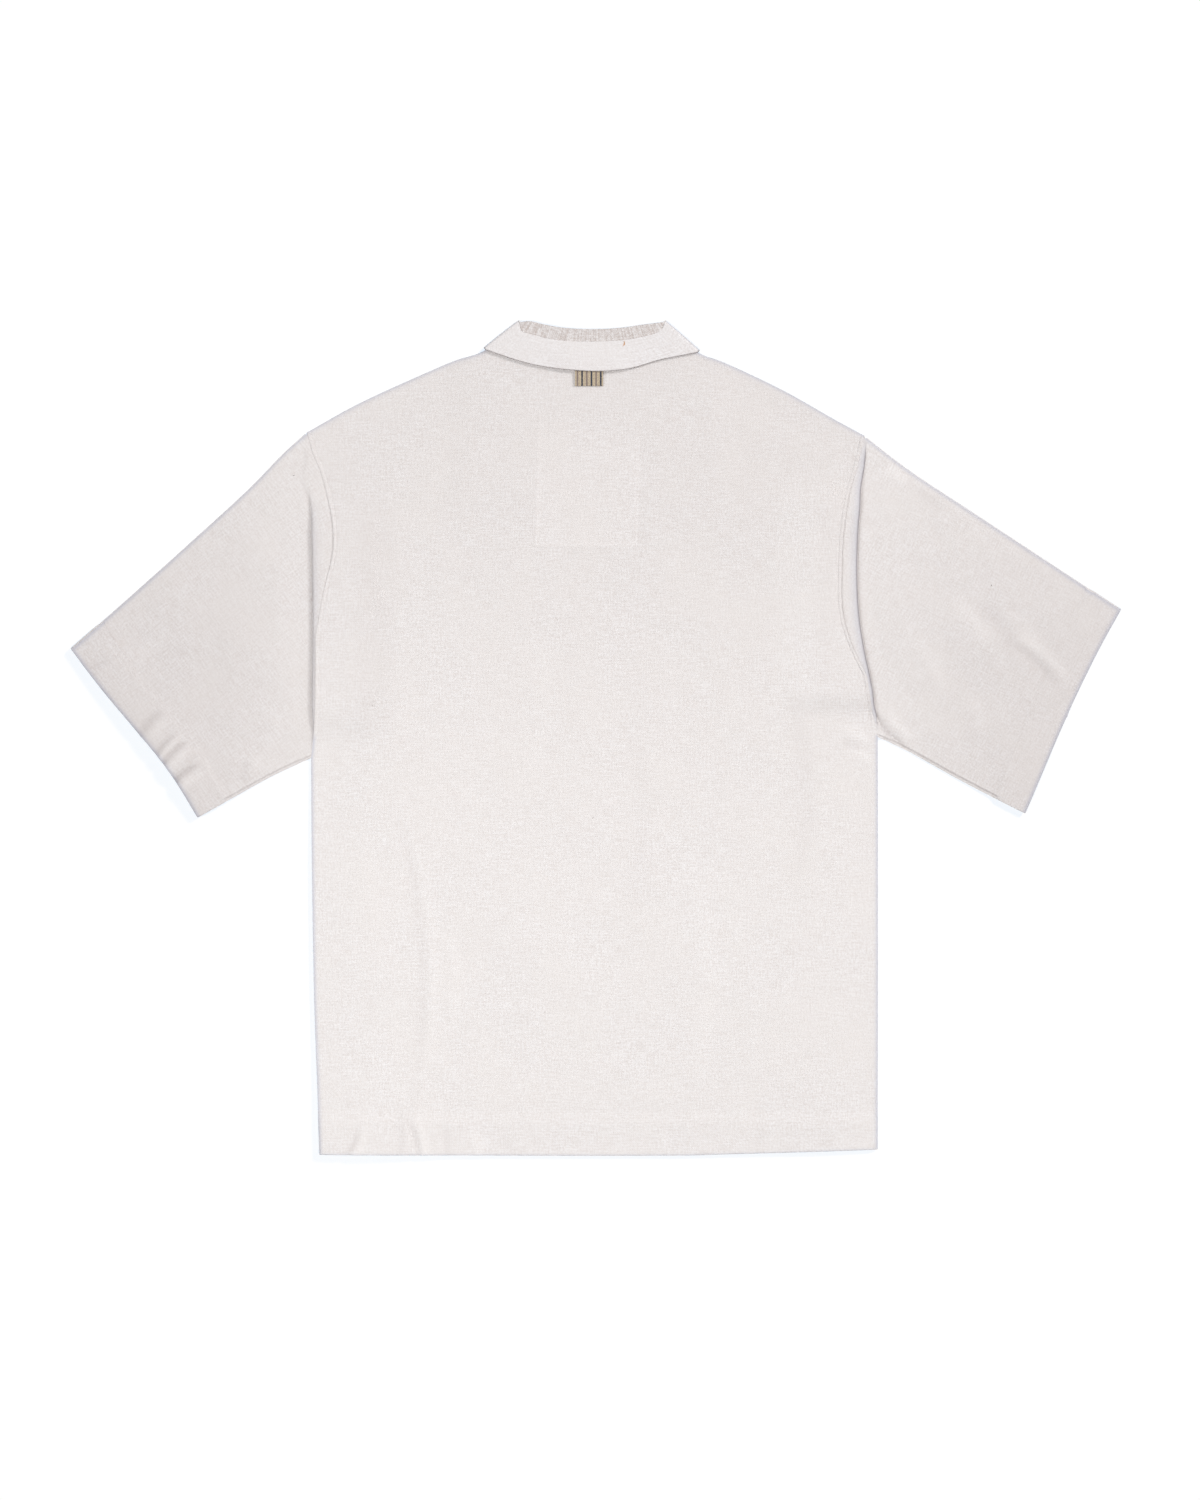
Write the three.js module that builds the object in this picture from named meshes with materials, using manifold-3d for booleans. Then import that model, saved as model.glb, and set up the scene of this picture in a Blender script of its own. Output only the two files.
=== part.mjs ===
// A boxy short-sleeved pullover shirt with a turned-down collar, laid flat on its front.
// Millimetres, +Z up, +Y towards the collar, +X towards the right-hand sleeve as seen from above.
// The origin is on the surface that the shirt lies on, under the middle of its outline.
import * as THREE from 'three';
import { mergeVertices } from 'three/addons/utils/BufferGeometryUtils.js';
import Module from 'manifold-3d';

// Cloth and its layers
const CLOTH = 1.2; // wall of each panel
const HEM_CLOTH = 1.8; // wall where the cloth is turned up at the hem and cuffs
const GAP = 0.3; // between layers, and between pieces at a seam
const LAYER = CLOTH + GAP; // height from one layer to the next
const SEAM = 0.35; // clearance at a seam, measured along the cloth
const EASE = 0.12; // further clearance of a piece that lies on a curved panel
const HEM_DEPTH = 33; // turned-up hem of the body
const CUFF_DEPTH = 31; // turned-up hem of a sleeve
const HEM_STEP = 3; // distance over which the hem thins to one wall
const SLEEVE_LOFT = 1.0; // how far the top layer of a sleeve stands off the other, in its middle

// How far the back stands off the front: nothing at the sides, hem, shoulders and neck, and the
// whole height from the given distances inwards
const BODY_LOFT = { height: 1.8, side: 40, hem: 46, top: { from: 20, to: 50 } };
const BODY = { left: -270, right: 267, hem: -396 }; // plain limits of the body
const SHOULDER_LINE = { middle: -4, half: 94, y: 372, slope: 0.48 };
const NECK_CIRCLE = { y: 560, radius: 201 };

// Tuck at each armhole, where the top layer of the sleeve folds under the body
const TUCK_RADIUS = LAYER / 2; // centre line of the cloth at each of the two turns
const TUCK_EDGE = TUCK_RADIUS + CLOTH / 2; // from a turn's centre to its outer face
const TUCK_LEAD = 14; // flat stretch before the tuck
const TUCK_TURN_STEPS = 4; // flat faces round one turn
const LEAST_STEP = 0.12; // between two stations of a row, where its turns are slight
const TURN_STEPS = 4; // flat faces round the folded edge of a sleeve

// Collar, measured from the middle height between the two layers of the neck
const NECK_MIDDLE = CLOTH / 2 + 1.5 * LAYER;
const INNER_OFFSET = LAYER / 2; // the stand, inside
const OUTER_OFFSET = 1.5 * LAYER; // its rolled strip and the leaf, outside
const COLLAR_EDGE = OUTER_OFFSET + CLOTH / 2; // outermost face at the side of the neck
const ROLL_BULGE = 1.2; // the turn of the cloth at the top of the collar
const COLLAR_TURN_STEPS = 5; // stations round the side of the neck
const NECK_BACK_STEPS = 10; // stations along the back of the neck
const NECK_FRONT_STEPS = 8; // stations from the side of the neck to the slit
const NECK_LIFT = { half: 112, fade: 32, low: 185, high: 240 }; // panels over the collar's front
const STAND_STEPS = 2; // stations of the stand inside the neck
const ROLL_STEPS = 4; // flat faces of its roll
const LEAF_STEPS = 4;
const BACK_TURN = Math.PI / 2; // a station's turn at the back; at the front it is the opposite

// Rows and columns of the panels
const BODY_ROWS = 7; // between the hem and the underarm
const UNDER_ROWS = 5; // between the underarm and the crossing of the armhole seam
const ARMHOLE_ROWS = 9;
const FRONT_ARMHOLE_ROWS = 12;
const SHOULDER_COLUMNS = 7;
const SLEEVE_ROWS = 6; // between the cuff hem and the tuck

// Slit of the front neckline, its facing and the tape loop below the collar
const SLIT = { x: -7.6, width: 3, bottom: 206, top: 300, depth: 40 };
const FACING = { left: -54.6, right: 42.8, top: 313.5, bottom: 180.5, lean: -3.6, steps: 8 };
const TAB = { left: -19.9, right: 6.7, bottom: 333.2, top: 355.5, steps: 3 };
const TAPE_RIDE = { lift: 1.9, half: 24, fade: 24, from: 0.05, to: 0.5 }; // leaf over the tape

// The tables below are in a frame whose origin is this much above the middle of the outline, in y
const CENTRING = 0.34;

const table = (columns, ...rows) => rows.map((row) =>
  Object.fromEntries(columns.split(' ').map((column, index) => [column, row[index]])));

// Outline of the body, from left to right or from the hem up
const HEM = {
  left: table('x y', [-262.2, -395.4], [-175, -395.9], [-88, -396.3]),
  middle: table('x y', [-88, -396.3], [0, -396.6], [88, -396.3]),
  right: table('x y', [88, -396.3], [190, -393.3], [267, -390.8]),
};
const SIDE = {
  left: table('x y', [-262.2, -395.4], [-264.3, -330], [-267, -260], [-269.5, -120], [-270.4, -20]),
  right: table('x y', [267, -390.8], [267.4, -297], [267.5, -107], [267.4, 0]),
};
const UNDER = { // armhole seam of the back beside the lower end of the tuck, from the underarm up
  left: table('x y', [-270.4, -20], [-267.6, 5], [-266.3, 35], [-266, 96]),
  right: table('x y', [267.4, 0], [263, 22], [256.8, 57]),
};
const BACK_ARMHOLE = {
  left: table('x y', [-266, 96], [-258.4, 138], [-250.8, 168], [-249, 184], [-250.8, 208],
    [-262.2, 253], [-268.8, 268], [-274.6, 289]),
  right: table('x y', [256.8, 57], [241.3, 90], [233.7, 118], [232.8, 160], [234.6, 194],
    [240.3, 231], [248, 257], [254.8, 285.9]),
};
const FRONT_ARMHOLE = {
  left: table('x y', [-270.4, -20], [-266, 35], [-263, 111], [-266, 168], [-271.7, 211],
    [-278.3, 231], [-280.6, 250], [-274.6, 289]),
  right: table('x y', [267.4, 0], [263, 50], [260, 111], [262, 168], [265, 211],
    [267, 235], [266, 256], [254.8, 285.9]),
};
const FOLD = { // outer edge of the tuck, from the shoulder down to the underarm
  left: table('x y', [-276.4, 288], [-272.6, 225], [-270.8, 187], [-269.9, 130], [-269.9, 96],
    [-270.6, 35], [-270.4, -20]),
  right: table('x y', [257.4, 284.5], [252.7, 226], [249.8, 194], [248.9, 152], [250.8, 115],
    [256, 81], [261.2, 57], [267.2, 22], [267.4, 0]),
};
const SHOULDER = { // from the sleeve to the neck
  left: table('x y', [-274.6, 289], [-228, 315], [-166.2, 343.5], [-133, 357.5], [-111, 364.2],
    [-97.4, 371.6]),
  right: table('x y', [254.8, 285.9], [227, 301], [176.7, 329.4], [117.8, 356.8], [103, 361.8],
    [88.5, 369.2]),
};
const NECKLINE = {
  back: table('x y', [-97.4, 371.6], [-72, 364.6], [-34, 360], [-4, 358.5], [32, 360], [66, 364],
    [88.5, 369.2]),
  frontLeft: table('x y', [-97.4, 371.6], [-79.8, 341], [-56, 313.5], [-32.3, 289.8], [-7.6, 275.5]),
  frontRight: table('x y', [88.5, 369.2], [66, 341], [41, 313.5], [17, 289.8], [-7.6, 275.5]),
};
// Tucks: heights in y where the turns and the depth grow from nothing, below the shoulder and
// above the underarm, and the places in x between which the back fades down from them
const TUCK = {
  left: { inward: 1, depth: 13, fade: { from: -185, to: -235 },
    turn: { top: 252, full: 186, fullLow: 30, low: -12 },
    deep: { top: 208, full: 150, fullLow: 62, low: 32 } },
  right: { inward: -1, depth: 13, fade: { from: 165, to: 215 },
    turn: { top: 262, full: 210, fullLow: 46, low: 14 },
    deep: { top: 225, full: 165, fullLow: 70, low: 44 } },
};
// Sleeves, from the shoulder to the cuff, along the cuff, and from the cuff to the underarm
const SLEEVE = {
  left: {
    upper: table('x y', [-276.4, 288], [-297, 269.4], [-327, 238.4], [-388, 182.4], [-448.4, 128.2],
      [-497.8, 84.5]),
    cuff: table('x y', [-497.8, 84.5], [-471, 49], [-416, -16.6], [-398, -41.4], [-377.1, -76]),
    lower: table('x y', [-377.1, -76], [-346, -58.6], [-306, -36.4], [-270.4, -20]),
  },
  right: {
    upper: table('x y', [257.4, 284.5], [276, 269.6], [302, 250.4], [354.3, 216], [434, 163.6],
      [497.8, 121.6]),
    cuff: table('x y', [497.8, 121.6], [475.9, 81.7], [451.2, 31], [430.3, -16.6], [406.6, -72.2]),
    lower: table('x y', [406.6, -72.2], [379, -58.4], [341, -38.4], [295.4, -13], [267.4, 0]),
  },
};
// Collar at the back, from left to right, and at the front, from the side of the neck to the slit
const ROLL = {
  back: table('x y', [-49.4, 391.6], [-32, 388], [-4, 386.6], [25, 388.8], [43, 391.6]),
  frontLeft: table('x y', [-60, 360], [-40, 330], [-24, 313], [-9.6, 303]),
  frontRight: table('x y', [52, 360], [32, 330], [12, 313], [-5.6, 303]),
};
const LEAF_SEAM = {
  back: table('x y', [-57, 381], [-46.5, 377.4], [-28, 375.7], [-3, 375.2], [26.6, 376.2],
    [48.4, 380], [60, 384.4]),
  frontLeft: table('x y', [-68, 356], [-49, 322], [-31, 303], [-14, 292]),
  frontRight: table('x y', [60, 356], [41, 322], [19, 303], [-1, 292]),
};
const LEAF_EDGE = {
  back: table('x y', [-70.3, 355.8], [-46.5, 350.6], [-21, 347.7], [7.6, 346.8], [33, 349.6],
    [60.8, 357.6]),
  frontLeft: table('x y', [-104, 338], [-97, 292], [-84, 248]),
  frontRight: table('x y', [96, 338], [89, 292], [76, 248]),
};
const NECK_SIDE = { // silhouette of the collar at each side: its top and its bottom corner
  left: { top: { x: -73.4, y: 396.6 }, bottom: { x: -106.4, y: 369.4 } },
  right: { top: { x: 67.2, y: 396.6 }, bottom: { x: 98.3, y: 366.8 } },
};
const NECK_SIDE_SHARE = { seam: 0.1, stand: 0.77 }; // where the seams cross the silhouette

// Maths helpers
const WELD = 1e-4; // points closer than this are one
const CURVE_SAMPLES = 200;
const point = (x, y, z = 0) => new THREE.Vector3(x, y, z);
const points = (rows) => rows.map(({ x, y }) => point(x, y));
const smooth = (from, to, value) => {
  const share = THREE.MathUtils.clamp((value - from) / (to - from), 0, 1);
  return share * share * (3 - 2 * share);
};
const steps = (count) => Array.from({ length: count + 1 }, (_, index) => index / count);
const spline = (list) => new THREE.CatmullRomCurve3(list, false, 'centripetal');
const along = (list, shares) => shares.map((share) => spline(list).getPointAt(share));
const spaced = (list, count) => along(list, steps(count));

// Joins sampled stretches into one edge, without doubling the shared corners
const chain = (...stretches) => stretches.flatMap((list, index) => (index ? list.slice(1) : list));

// X of a curve, given top down or bottom up in y, at a height y
function acrossAt(rows, y) {
  const list = spline(points(rows)).getSpacedPoints(CURVE_SAMPLES);
  const near = list.reduce((best, next) =>
    (Math.abs(next.y - y) < Math.abs(best.y - y) ? next : best));
  return near.x;
}

// Share of an edge's length at each of its points
function shares(list) {
  const run = [0];
  list.slice(1).forEach((next, index) => run.push(run[index] + next.distanceTo(list[index])));
  return run.map((length) => length / run[run.length - 1]);
}

// Grid between four edges: start and end run along a row, first and last run across the rows
function patch(start, end, first, last) {
  const [across0, across1] = [shares(start), shares(end)];
  const [up0, up1] = [shares(first), shares(last)];
  return first.map((_, i) => start.map((__, j) => {
    const u = (up0[i] + up1[i]) / 2;
    const v = (across0[j] + across1[j]) / 2;
    const sum = point(0, 0);
    sum.addScaledVector(start[j], 1 - u).addScaledVector(end[j], u);
    sum.addScaledVector(first[i], 1 - v).addScaledVector(last[i], v);
    sum.addScaledVector(start[0], -(1 - u) * (1 - v)).addScaledVector(end[0], -u * (1 - v));
    sum.addScaledVector(start[start.length - 1], -(1 - u) * v);
    return sum.addScaledVector(end[end.length - 1], -u * v);
  }));
}

// Closed wall of cloth on a grid of centre points. Around closes each row into a ring.
function wall(grid, thickness = () => CLOTH, around = false) {
  const rows = grid.length;
  const columns = grid[0].length;
  const pick = (i, j) => {
    const column = around ? (j + columns) % columns : Math.min(Math.max(j, 0), columns - 1);
    return grid[Math.min(Math.max(i, 0), rows - 1)][column];
  };
  const positions = [];
  for (const side of [0.5, -0.5]) {
    for (let i = 0; i < rows; i += 1) {
      for (let j = 0; j < columns; j += 1) {
        const up = pick(i + 1, j).clone().sub(pick(i - 1, j));
        const across = pick(i, j + 1).clone().sub(pick(i, j - 1));
        const normal = across.cross(up).normalize();
        const place = pick(i, j).clone().addScaledVector(normal, side * thickness(i, j));
        positions.push(place.x, place.y, place.z);
      }
    }
  }
  const face = (i, j) => i * columns + (j % columns);
  const back = (i, j) => face(i, j) + rows * columns;
  const index = [];
  const quad = (a, b, c, d) => index.push(a, b, c, a, c, d);
  const cells = around ? columns : columns - 1;
  for (let j = 0; j < cells; j += 1) {
    for (let i = 0; i < rows - 1; i += 1) {
      quad(face(i, j), face(i, j + 1), face(i + 1, j + 1), face(i + 1, j));
      quad(back(i, j), back(i + 1, j), back(i + 1, j + 1), back(i, j + 1));
    }
    quad(face(0, j + 1), face(0, j), back(0, j), back(0, j + 1));
    quad(face(rows - 1, j), face(rows - 1, j + 1), back(rows - 1, j + 1), back(rows - 1, j));
  }
  if (!around) {
    const end = columns - 1;
    for (let i = 0; i < rows - 1; i += 1) {
      quad(face(i, 0), face(i + 1, 0), back(i + 1, 0), back(i, 0));
      quad(face(i + 1, end), face(i, end), back(i, end), back(i + 1, end));
    }
  }
  const geometry = new THREE.BufferGeometry();
  geometry.setAttribute('position', new THREE.Float32BufferAttribute(positions, 3));
  geometry.setIndex(index);
  return volume(geometry) < 0 ? turned(geometry) : geometry;
}

function volume(geometry) {
  const place = geometry.getAttribute('position');
  const corner = (index) => new THREE.Vector3().fromBufferAttribute(place, geometry.index.getX(index));
  let sum = 0;
  for (let i = 0; i < geometry.index.count; i += 3) {
    sum += corner(i).dot(corner(i + 1).cross(corner(i + 2))) / 6;
  }
  return sum;
}

function turned(geometry) {
  const list = Array.from(geometry.index.array);
  for (let i = 0; i < list.length; i += 3) {
    [list[i], list[i + 1]] = [list[i + 1], list[i]];
  }
  geometry.setIndex(list);
  return geometry;
}

const wasm = await Module();
wasm.setup();

function solid(geometry) {
  const bare = new THREE.BufferGeometry();
  bare.setAttribute('position', geometry.getAttribute('position').clone());
  bare.setIndex(geometry.index.clone());
  const merged = mergeVertices(bare, WELD);
  return new wasm.Manifold(new wasm.Mesh({
    numProp: 3,
    vertProperties: Float32Array.from(merged.getAttribute('position').array),
    triVerts: Uint32Array.from(merged.index.array),
  }));
}

function cut(geometry, cutter) {
  const mesh = solid(geometry).subtract(solid(cutter)).getMesh();
  const result = new THREE.BufferGeometry();
  result.setAttribute('position', new THREE.Float32BufferAttribute(mesh.vertProperties, 3));
  result.setIndex(Array.from(mesh.triVerts));
  return result;
}

// Heights of the layers
const level = (number) => CLOTH / 2 + number * LAYER;

// Turn, in radians, and depth of a tuck at a height y
function tuckAt({ turn, deep, depth }, y) {
  const grown = ({ top, full, fullLow, low }) => smooth(top, full, y) * smooth(low, fullLow, y);
  return { turn: Math.PI * grown(turn), depth: depth * grown(deep) };
}

// Lift of the back's edge over a tuck at a height y
function tuckLift(tuck, y) {
  const { turn, depth } = tuckAt(tuck, y);
  return 2 * TUCK_RADIUS * (1 - Math.cos(turn)) + depth * Math.sin(turn);
}

// Lift of both panels over the front of the collar
function neckLift(x, y) {
  const { half, fade, low, high } = NECK_LIFT;
  return LAYER * smooth(low, high, y) * smooth(half + fade, half, Math.abs(x - SHOULDER_LINE.middle));
}

const frontHeight = (x, y) => level(0) + neckLift(x, y);

// Share of the loft at a place on the back
function loftShare(x, y) {
  const { side, hem, top } = BODY_LOFT;
  const { middle, half, y: shoulderTop, slope } = SHOULDER_LINE;
  const fromSide = Math.min(x - BODY.left, BODY.right - x);
  const fromShoulder = shoulderTop - slope * Math.max(Math.abs(x - middle) - half, 0) - y;
  const fromNeck = Math.hypot(x - middle, y - NECK_CIRCLE.y) - NECK_CIRCLE.radius;
  const fromTop = Math.min(fromShoulder, fromNeck);
  return smooth(0, side, fromSide) * smooth(top.from, top.to, fromTop) * smooth(0, hem, y - BODY.hem);
}

function backHeight(x, y) {
  const overTuck = ({ fade, ...tuck }) => tuckLift(tuck, y) * smooth(fade.from, fade.to, x);
  const lift = overTuck(TUCK.left) + overTuck(TUCK.right);
  return level(1) + BODY_LOFT.height * loftShare(x, y) + neckLift(x, y) + lift;
}

// Rows of a side edge: the hem, its step and then even rows
function hemRows(rows, depth, count) {
  const curve = spline(points(rows));
  const length = curve.getLength();
  const from = (depth + HEM_STEP) / length;
  const rest = steps(count).map((share) => from + (1 - from) * share);
  return [0, depth / length, ...rest].map((share) => curve.getPointAt(share));
}

const hemThickness = (i) => (i < 2 ? HEM_CLOTH : CLOTH);
const HEM_RISE = HEM_CLOTH - CLOTH;

const backArmhole = (side) => spaced(points(BACK_ARMHOLE[side]), ARMHOLE_ROWS);
const underEdge = (side) => spaced(points(UNDER[side]), UNDER_ROWS);
const frontArmhole = (side) => spaced(points(FRONT_ARMHOLE[side]), FRONT_ARMHOLE_ROWS);

function hemEdge(shoulderColumns, middleColumns) {
  return chain(spaced(points(HEM.left), shoulderColumns), spaced(points(HEM.middle), middleColumns),
    spaced(points(HEM.right), shoulderColumns));
}

// The last column of a shoulder is the short stretch under the collar leaf
const shoulderEdge = (side) => {
  const list = points(SHOULDER[side]);
  return [...spaced(list.slice(0, -1), SHOULDER_COLUMNS - 1), list[list.length - 1]];
};

function backGeometry() {
  const side = (name) => chain(hemRows(SIDE[name], HEM_DEPTH, BODY_ROWS), underEdge(name),
    backArmhole(name));
  const neck = spaced(points(NECKLINE.back), NECK_BACK_STEPS);
  const top = chain(shoulderEdge('left'), neck, shoulderEdge('right').reverse());
  const grid = patch(hemEdge(SHOULDER_COLUMNS, NECK_BACK_STEPS), top, side('left'), side('right'));
  grid.forEach((row, i) => row.forEach((place) => {
    place.z = backHeight(place.x, place.y) + (i < 2 ? 1.5 * HEM_RISE : 0);
  }));
  return wall(grid, hemThickness);
}

function frontGeometry() {
  const side = (name) => chain(hemRows(SIDE[name], HEM_DEPTH, BODY_ROWS), frontArmhole(name));
  const left = spaced(points(NECKLINE.frontLeft), NECK_FRONT_STEPS);
  const right = spaced(points(NECKLINE.frontRight), NECK_FRONT_STEPS).reverse();
  const top = chain(shoulderEdge('left'), left, right, shoulderEdge('right').reverse());
  const hem = hemEdge(SHOULDER_COLUMNS, 2 * NECK_FRONT_STEPS);
  const grid = patch(hem, top, side('left'), side('right'));
  grid.forEach((row, i) => row.forEach((place) => {
    place.z = frontHeight(place.x, place.y) + (i < 2 ? 0.5 * HEM_RISE : 0);
  }));
  return cut(wall(grid, hemThickness), slitCutter());
}

function slitCutter() {
  const cutter = new THREE.BoxGeometry(SLIT.width, SLIT.top - SLIT.bottom, SLIT.depth);
  cutter.translate(SLIT.x, (SLIT.top + SLIT.bottom) / 2, 0);
  return cutter;
}

// Lengths along the cloth through a tuck: the stretch before it, one turn, and both turns with the
// stretch between them
function tuckLengths({ turn, depth }) {
  const lead = TUCK_LEAD + TUCK_EDGE * (turn / Math.PI) + depth;
  const bend = turn * TUCK_RADIUS;
  return { lead, bend, whole: lead + 2 * bend + depth };
}

// Place in a tuck after a length of cloth: run along the row, and rise over its start
function tuckPlace({ turn, depth }, length) {
  const { lead, bend, whole } = tuckLengths({ turn, depth });
  if (length <= lead || turn === 0) {
    return { run: length, rise: 0 };
  }
  const bent = Math.min(length - lead, bend) / TUCK_RADIUS;
  const between = THREE.MathUtils.clamp(length - lead - bend, 0, depth);
  const heading = turn - THREE.MathUtils.clamp(length - lead - bend - depth, 0, bend) / TUCK_RADIUS;
  const onward = Math.max(length - whole, 0);
  const second = {
    run: TUCK_RADIUS * (Math.sin(turn) - Math.sin(heading)),
    rise: TUCK_RADIUS * (Math.cos(heading) - Math.cos(turn)),
  };
  return {
    run: lead + TUCK_RADIUS * Math.sin(bent) + between * Math.cos(turn) + second.run + onward,
    rise: TUCK_RADIUS * (1 - Math.cos(bent)) + between * Math.sin(turn) + second.rise,
  };
}

// Stations of one row of the sleeve's top layer, which ends after a length of cloth. They keep
// apart, and none passes the end.
function tuckRow(state, end) {
  const { lead, bend, whole } = tuckLengths(state);
  const turnMarks = (from) => steps(TUCK_TURN_STEPS).slice(1).map((share) => from + bend * share);
  const marks = [0, lead / 2, lead, ...turnMarks(lead), whole - bend, ...turnMarks(whole - bend), end];
  const last = marks.length - 1;
  marks.forEach((mark, i) => {
    const apart = i ? Math.max(mark, marks[i - 1] + LEAST_STEP) : mark;
    marks[i] = Math.min(apart, end - (last - i) * LEAST_STEP);
  });
  return marks.map((mark) => tuckPlace(state, mark));
}

// Stations of a flat row: as many as a tuck has
const ROW_STEPS = 2 * TUCK_TURN_STEPS + 4;
const evenRow = () => steps(ROW_STEPS).map((share) => ({ run: share * (TUCK_LEAD - SEAM), rise: 0 }));

// Moves an edge inwards by the half width of a folded edge, left or right of its direction
function insetEdge(list, sign) {
  const last = list.length - 1;
  return list.map((place, i) => {
    const way = list[Math.min(i + 1, last)].clone().sub(list[Math.max(i - 1, 0)]).normalize();
    return place.clone().addScaledVector(point(-way.y, way.x), sign * TUCK_EDGE);
  });
}

// Direction of the last stretch of an edge, and its end
function edgeEnd(list) {
  const [before, end] = list.slice(-2);
  return { end, way: end.clone().sub(before).normalize() };
}

// Rows of the sleeve's top layer through the tuck, from the shoulder to the underarm
function sleeveTopRows(side, upperEnd, lowerEnd) {
  const tuck = TUCK[side];
  const inward = point(tuck.inward, 0);
  const ends = [...backArmhole(side).reverse(), ...underEdge(side).reverse().slice(1)];
  const last = ends.length - 1;
  return ends.map((place, i) => {
    const state = tuckAt(tuck, place.y);
    if (i === 0 || i === last) {
      const { end, way } = i === 0 ? upperEnd : lowerEnd;
      const start = end.clone().addScaledVector(way, -TUCK_LEAD);
      return { start, way, stations: evenRow() };
    }
    const start = point(acrossAt(FOLD[side], place.y), place.y).addScaledVector(inward, -TUCK_LEAD);
    const { whole } = tuckLengths(state);
    const onward = Math.abs(place.x - start.x) - SEAM - tuckPlace(state, whole).run;
    return { start, way: inward, stations: tuckRow(state, whole + onward) };
  });
}

// Rows of the bottom layer to the front armhole. Its edge rows are those of the top layer.
function sleeveBottomRows(side, topRows) {
  const inward = point(TUCK[side].inward, 0);
  const ends = frontArmhole(side).reverse();
  return ends.map((place, i) => {
    if (i === 0 || i === ends.length - 1) {
      return topRows[i === 0 ? 0 : topRows.length - 1];
    }
    const start = place.clone().addScaledVector(inward, -TUCK_LEAD);
    return { start, way: inward, stations: evenRow() };
  });
}

// Points of a sleeve's long edge: the cuff hem, its step and then even rows up to the tuck
function sleeveEdge(edge) {
  const curve = spline(edge);
  const whole = curve.getLength();
  const from = (CUFF_DEPTH + HEM_STEP) / whole;
  const to = 1 - TUCK_LEAD / whole;
  const rest = steps(SLEEVE_ROWS).map((share) => THREE.MathUtils.lerp(from, to, share));
  return [0, CUFF_DEPTH / whole, ...rest].map((share) => curve.getPointAt(share));
}

// One layer of a sleeve, from the cuff through the tuck: 0 is the bottom layer, 1 the top layer
function sleeveLayer(rows, number, cuff, upper, lower) {
  const last = rows.length - 1;
  const cuffEdge = spaced(points(cuff), last);
  const starts = rows.map((row) => row.start);
  [cuffEdge[0], cuffEdge[last]] = [upper[0], lower[0]];
  [starts[0], starts[last]] = [upper[upper.length - 1], lower[lower.length - 1]];
  const grid = patch(cuffEdge, starts, upper, lower);
  grid.forEach((row, i) => row.forEach((place, j) => {
    const swell = Math.sin((Math.PI * j) / last) * Math.sin((Math.PI * i) / (grid.length - 1));
    const hem = i < 2 ? HEM_RISE * (0.5 + number) : 0;
    place.z = level(number) + number * SLEEVE_LOFT * swell + hem;
  }));
  for (let i = 1; i < rows[0].stations.length; i += 1) {
    grid.push(rows.map(({ way, stations }, j) => {
      const place = starts[j].clone().addScaledVector(way, stations[i].run);
      return place.setZ(level(number) + number * stations[i].rise);
    }));
  }
  return grid;
}

// Places round a folded edge, from one layer to the other
function turnRound(from, to, outward) {
  const middle = from.clone().lerp(to, 0.5);
  const half = from.clone().sub(middle);
  return steps(TURN_STEPS).slice(1, -1).map((share) => middle.clone()
    .addScaledVector(half, Math.cos(Math.PI * share))
    .addScaledVector(outward, half.length() * Math.sin(Math.PI * share)));
}

function sleeveGeometry(side) {
  const { upper, cuff, lower } = SLEEVE[side];
  const upperEdge = insetEdge(points(upper), TUCK[side].inward).reverse();
  const lowerEdge = insetEdge(points(lower), TUCK[side].inward);
  const topRows = sleeveTopRows(side, edgeEnd(upperEdge), edgeEnd(lowerEdge));
  const bottomRows = sleeveBottomRows(side, topRows);
  const [first, last] = [sleeveEdge(upperEdge), sleeveEdge(lowerEdge)];
  const bottom = sleeveLayer(bottomRows, 0, cuff, first, last);
  const top = sleeveLayer(topRows, 1, cuff, first, last);
  const rings = top.map((row, i) => {
    const end = row.length - 1;
    const below = bottom[i].slice().reverse();
    const beside = (j, sign) => {
      const way = top[Math.min(i + 1, top.length - 1)][j].clone().sub(top[Math.max(i - 1, 0)][j]);
      return point(-way.y, way.x).normalize().multiplyScalar(sign * TUCK[side].inward);
    };
    return [...row, ...turnRound(row[end], below[0], beside(end, -1)), ...below,
      ...turnRound(below[below.length - 1], row[0], beside(0, 1))];
  });
  return wall(rings, hemThickness, true);
}

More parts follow.
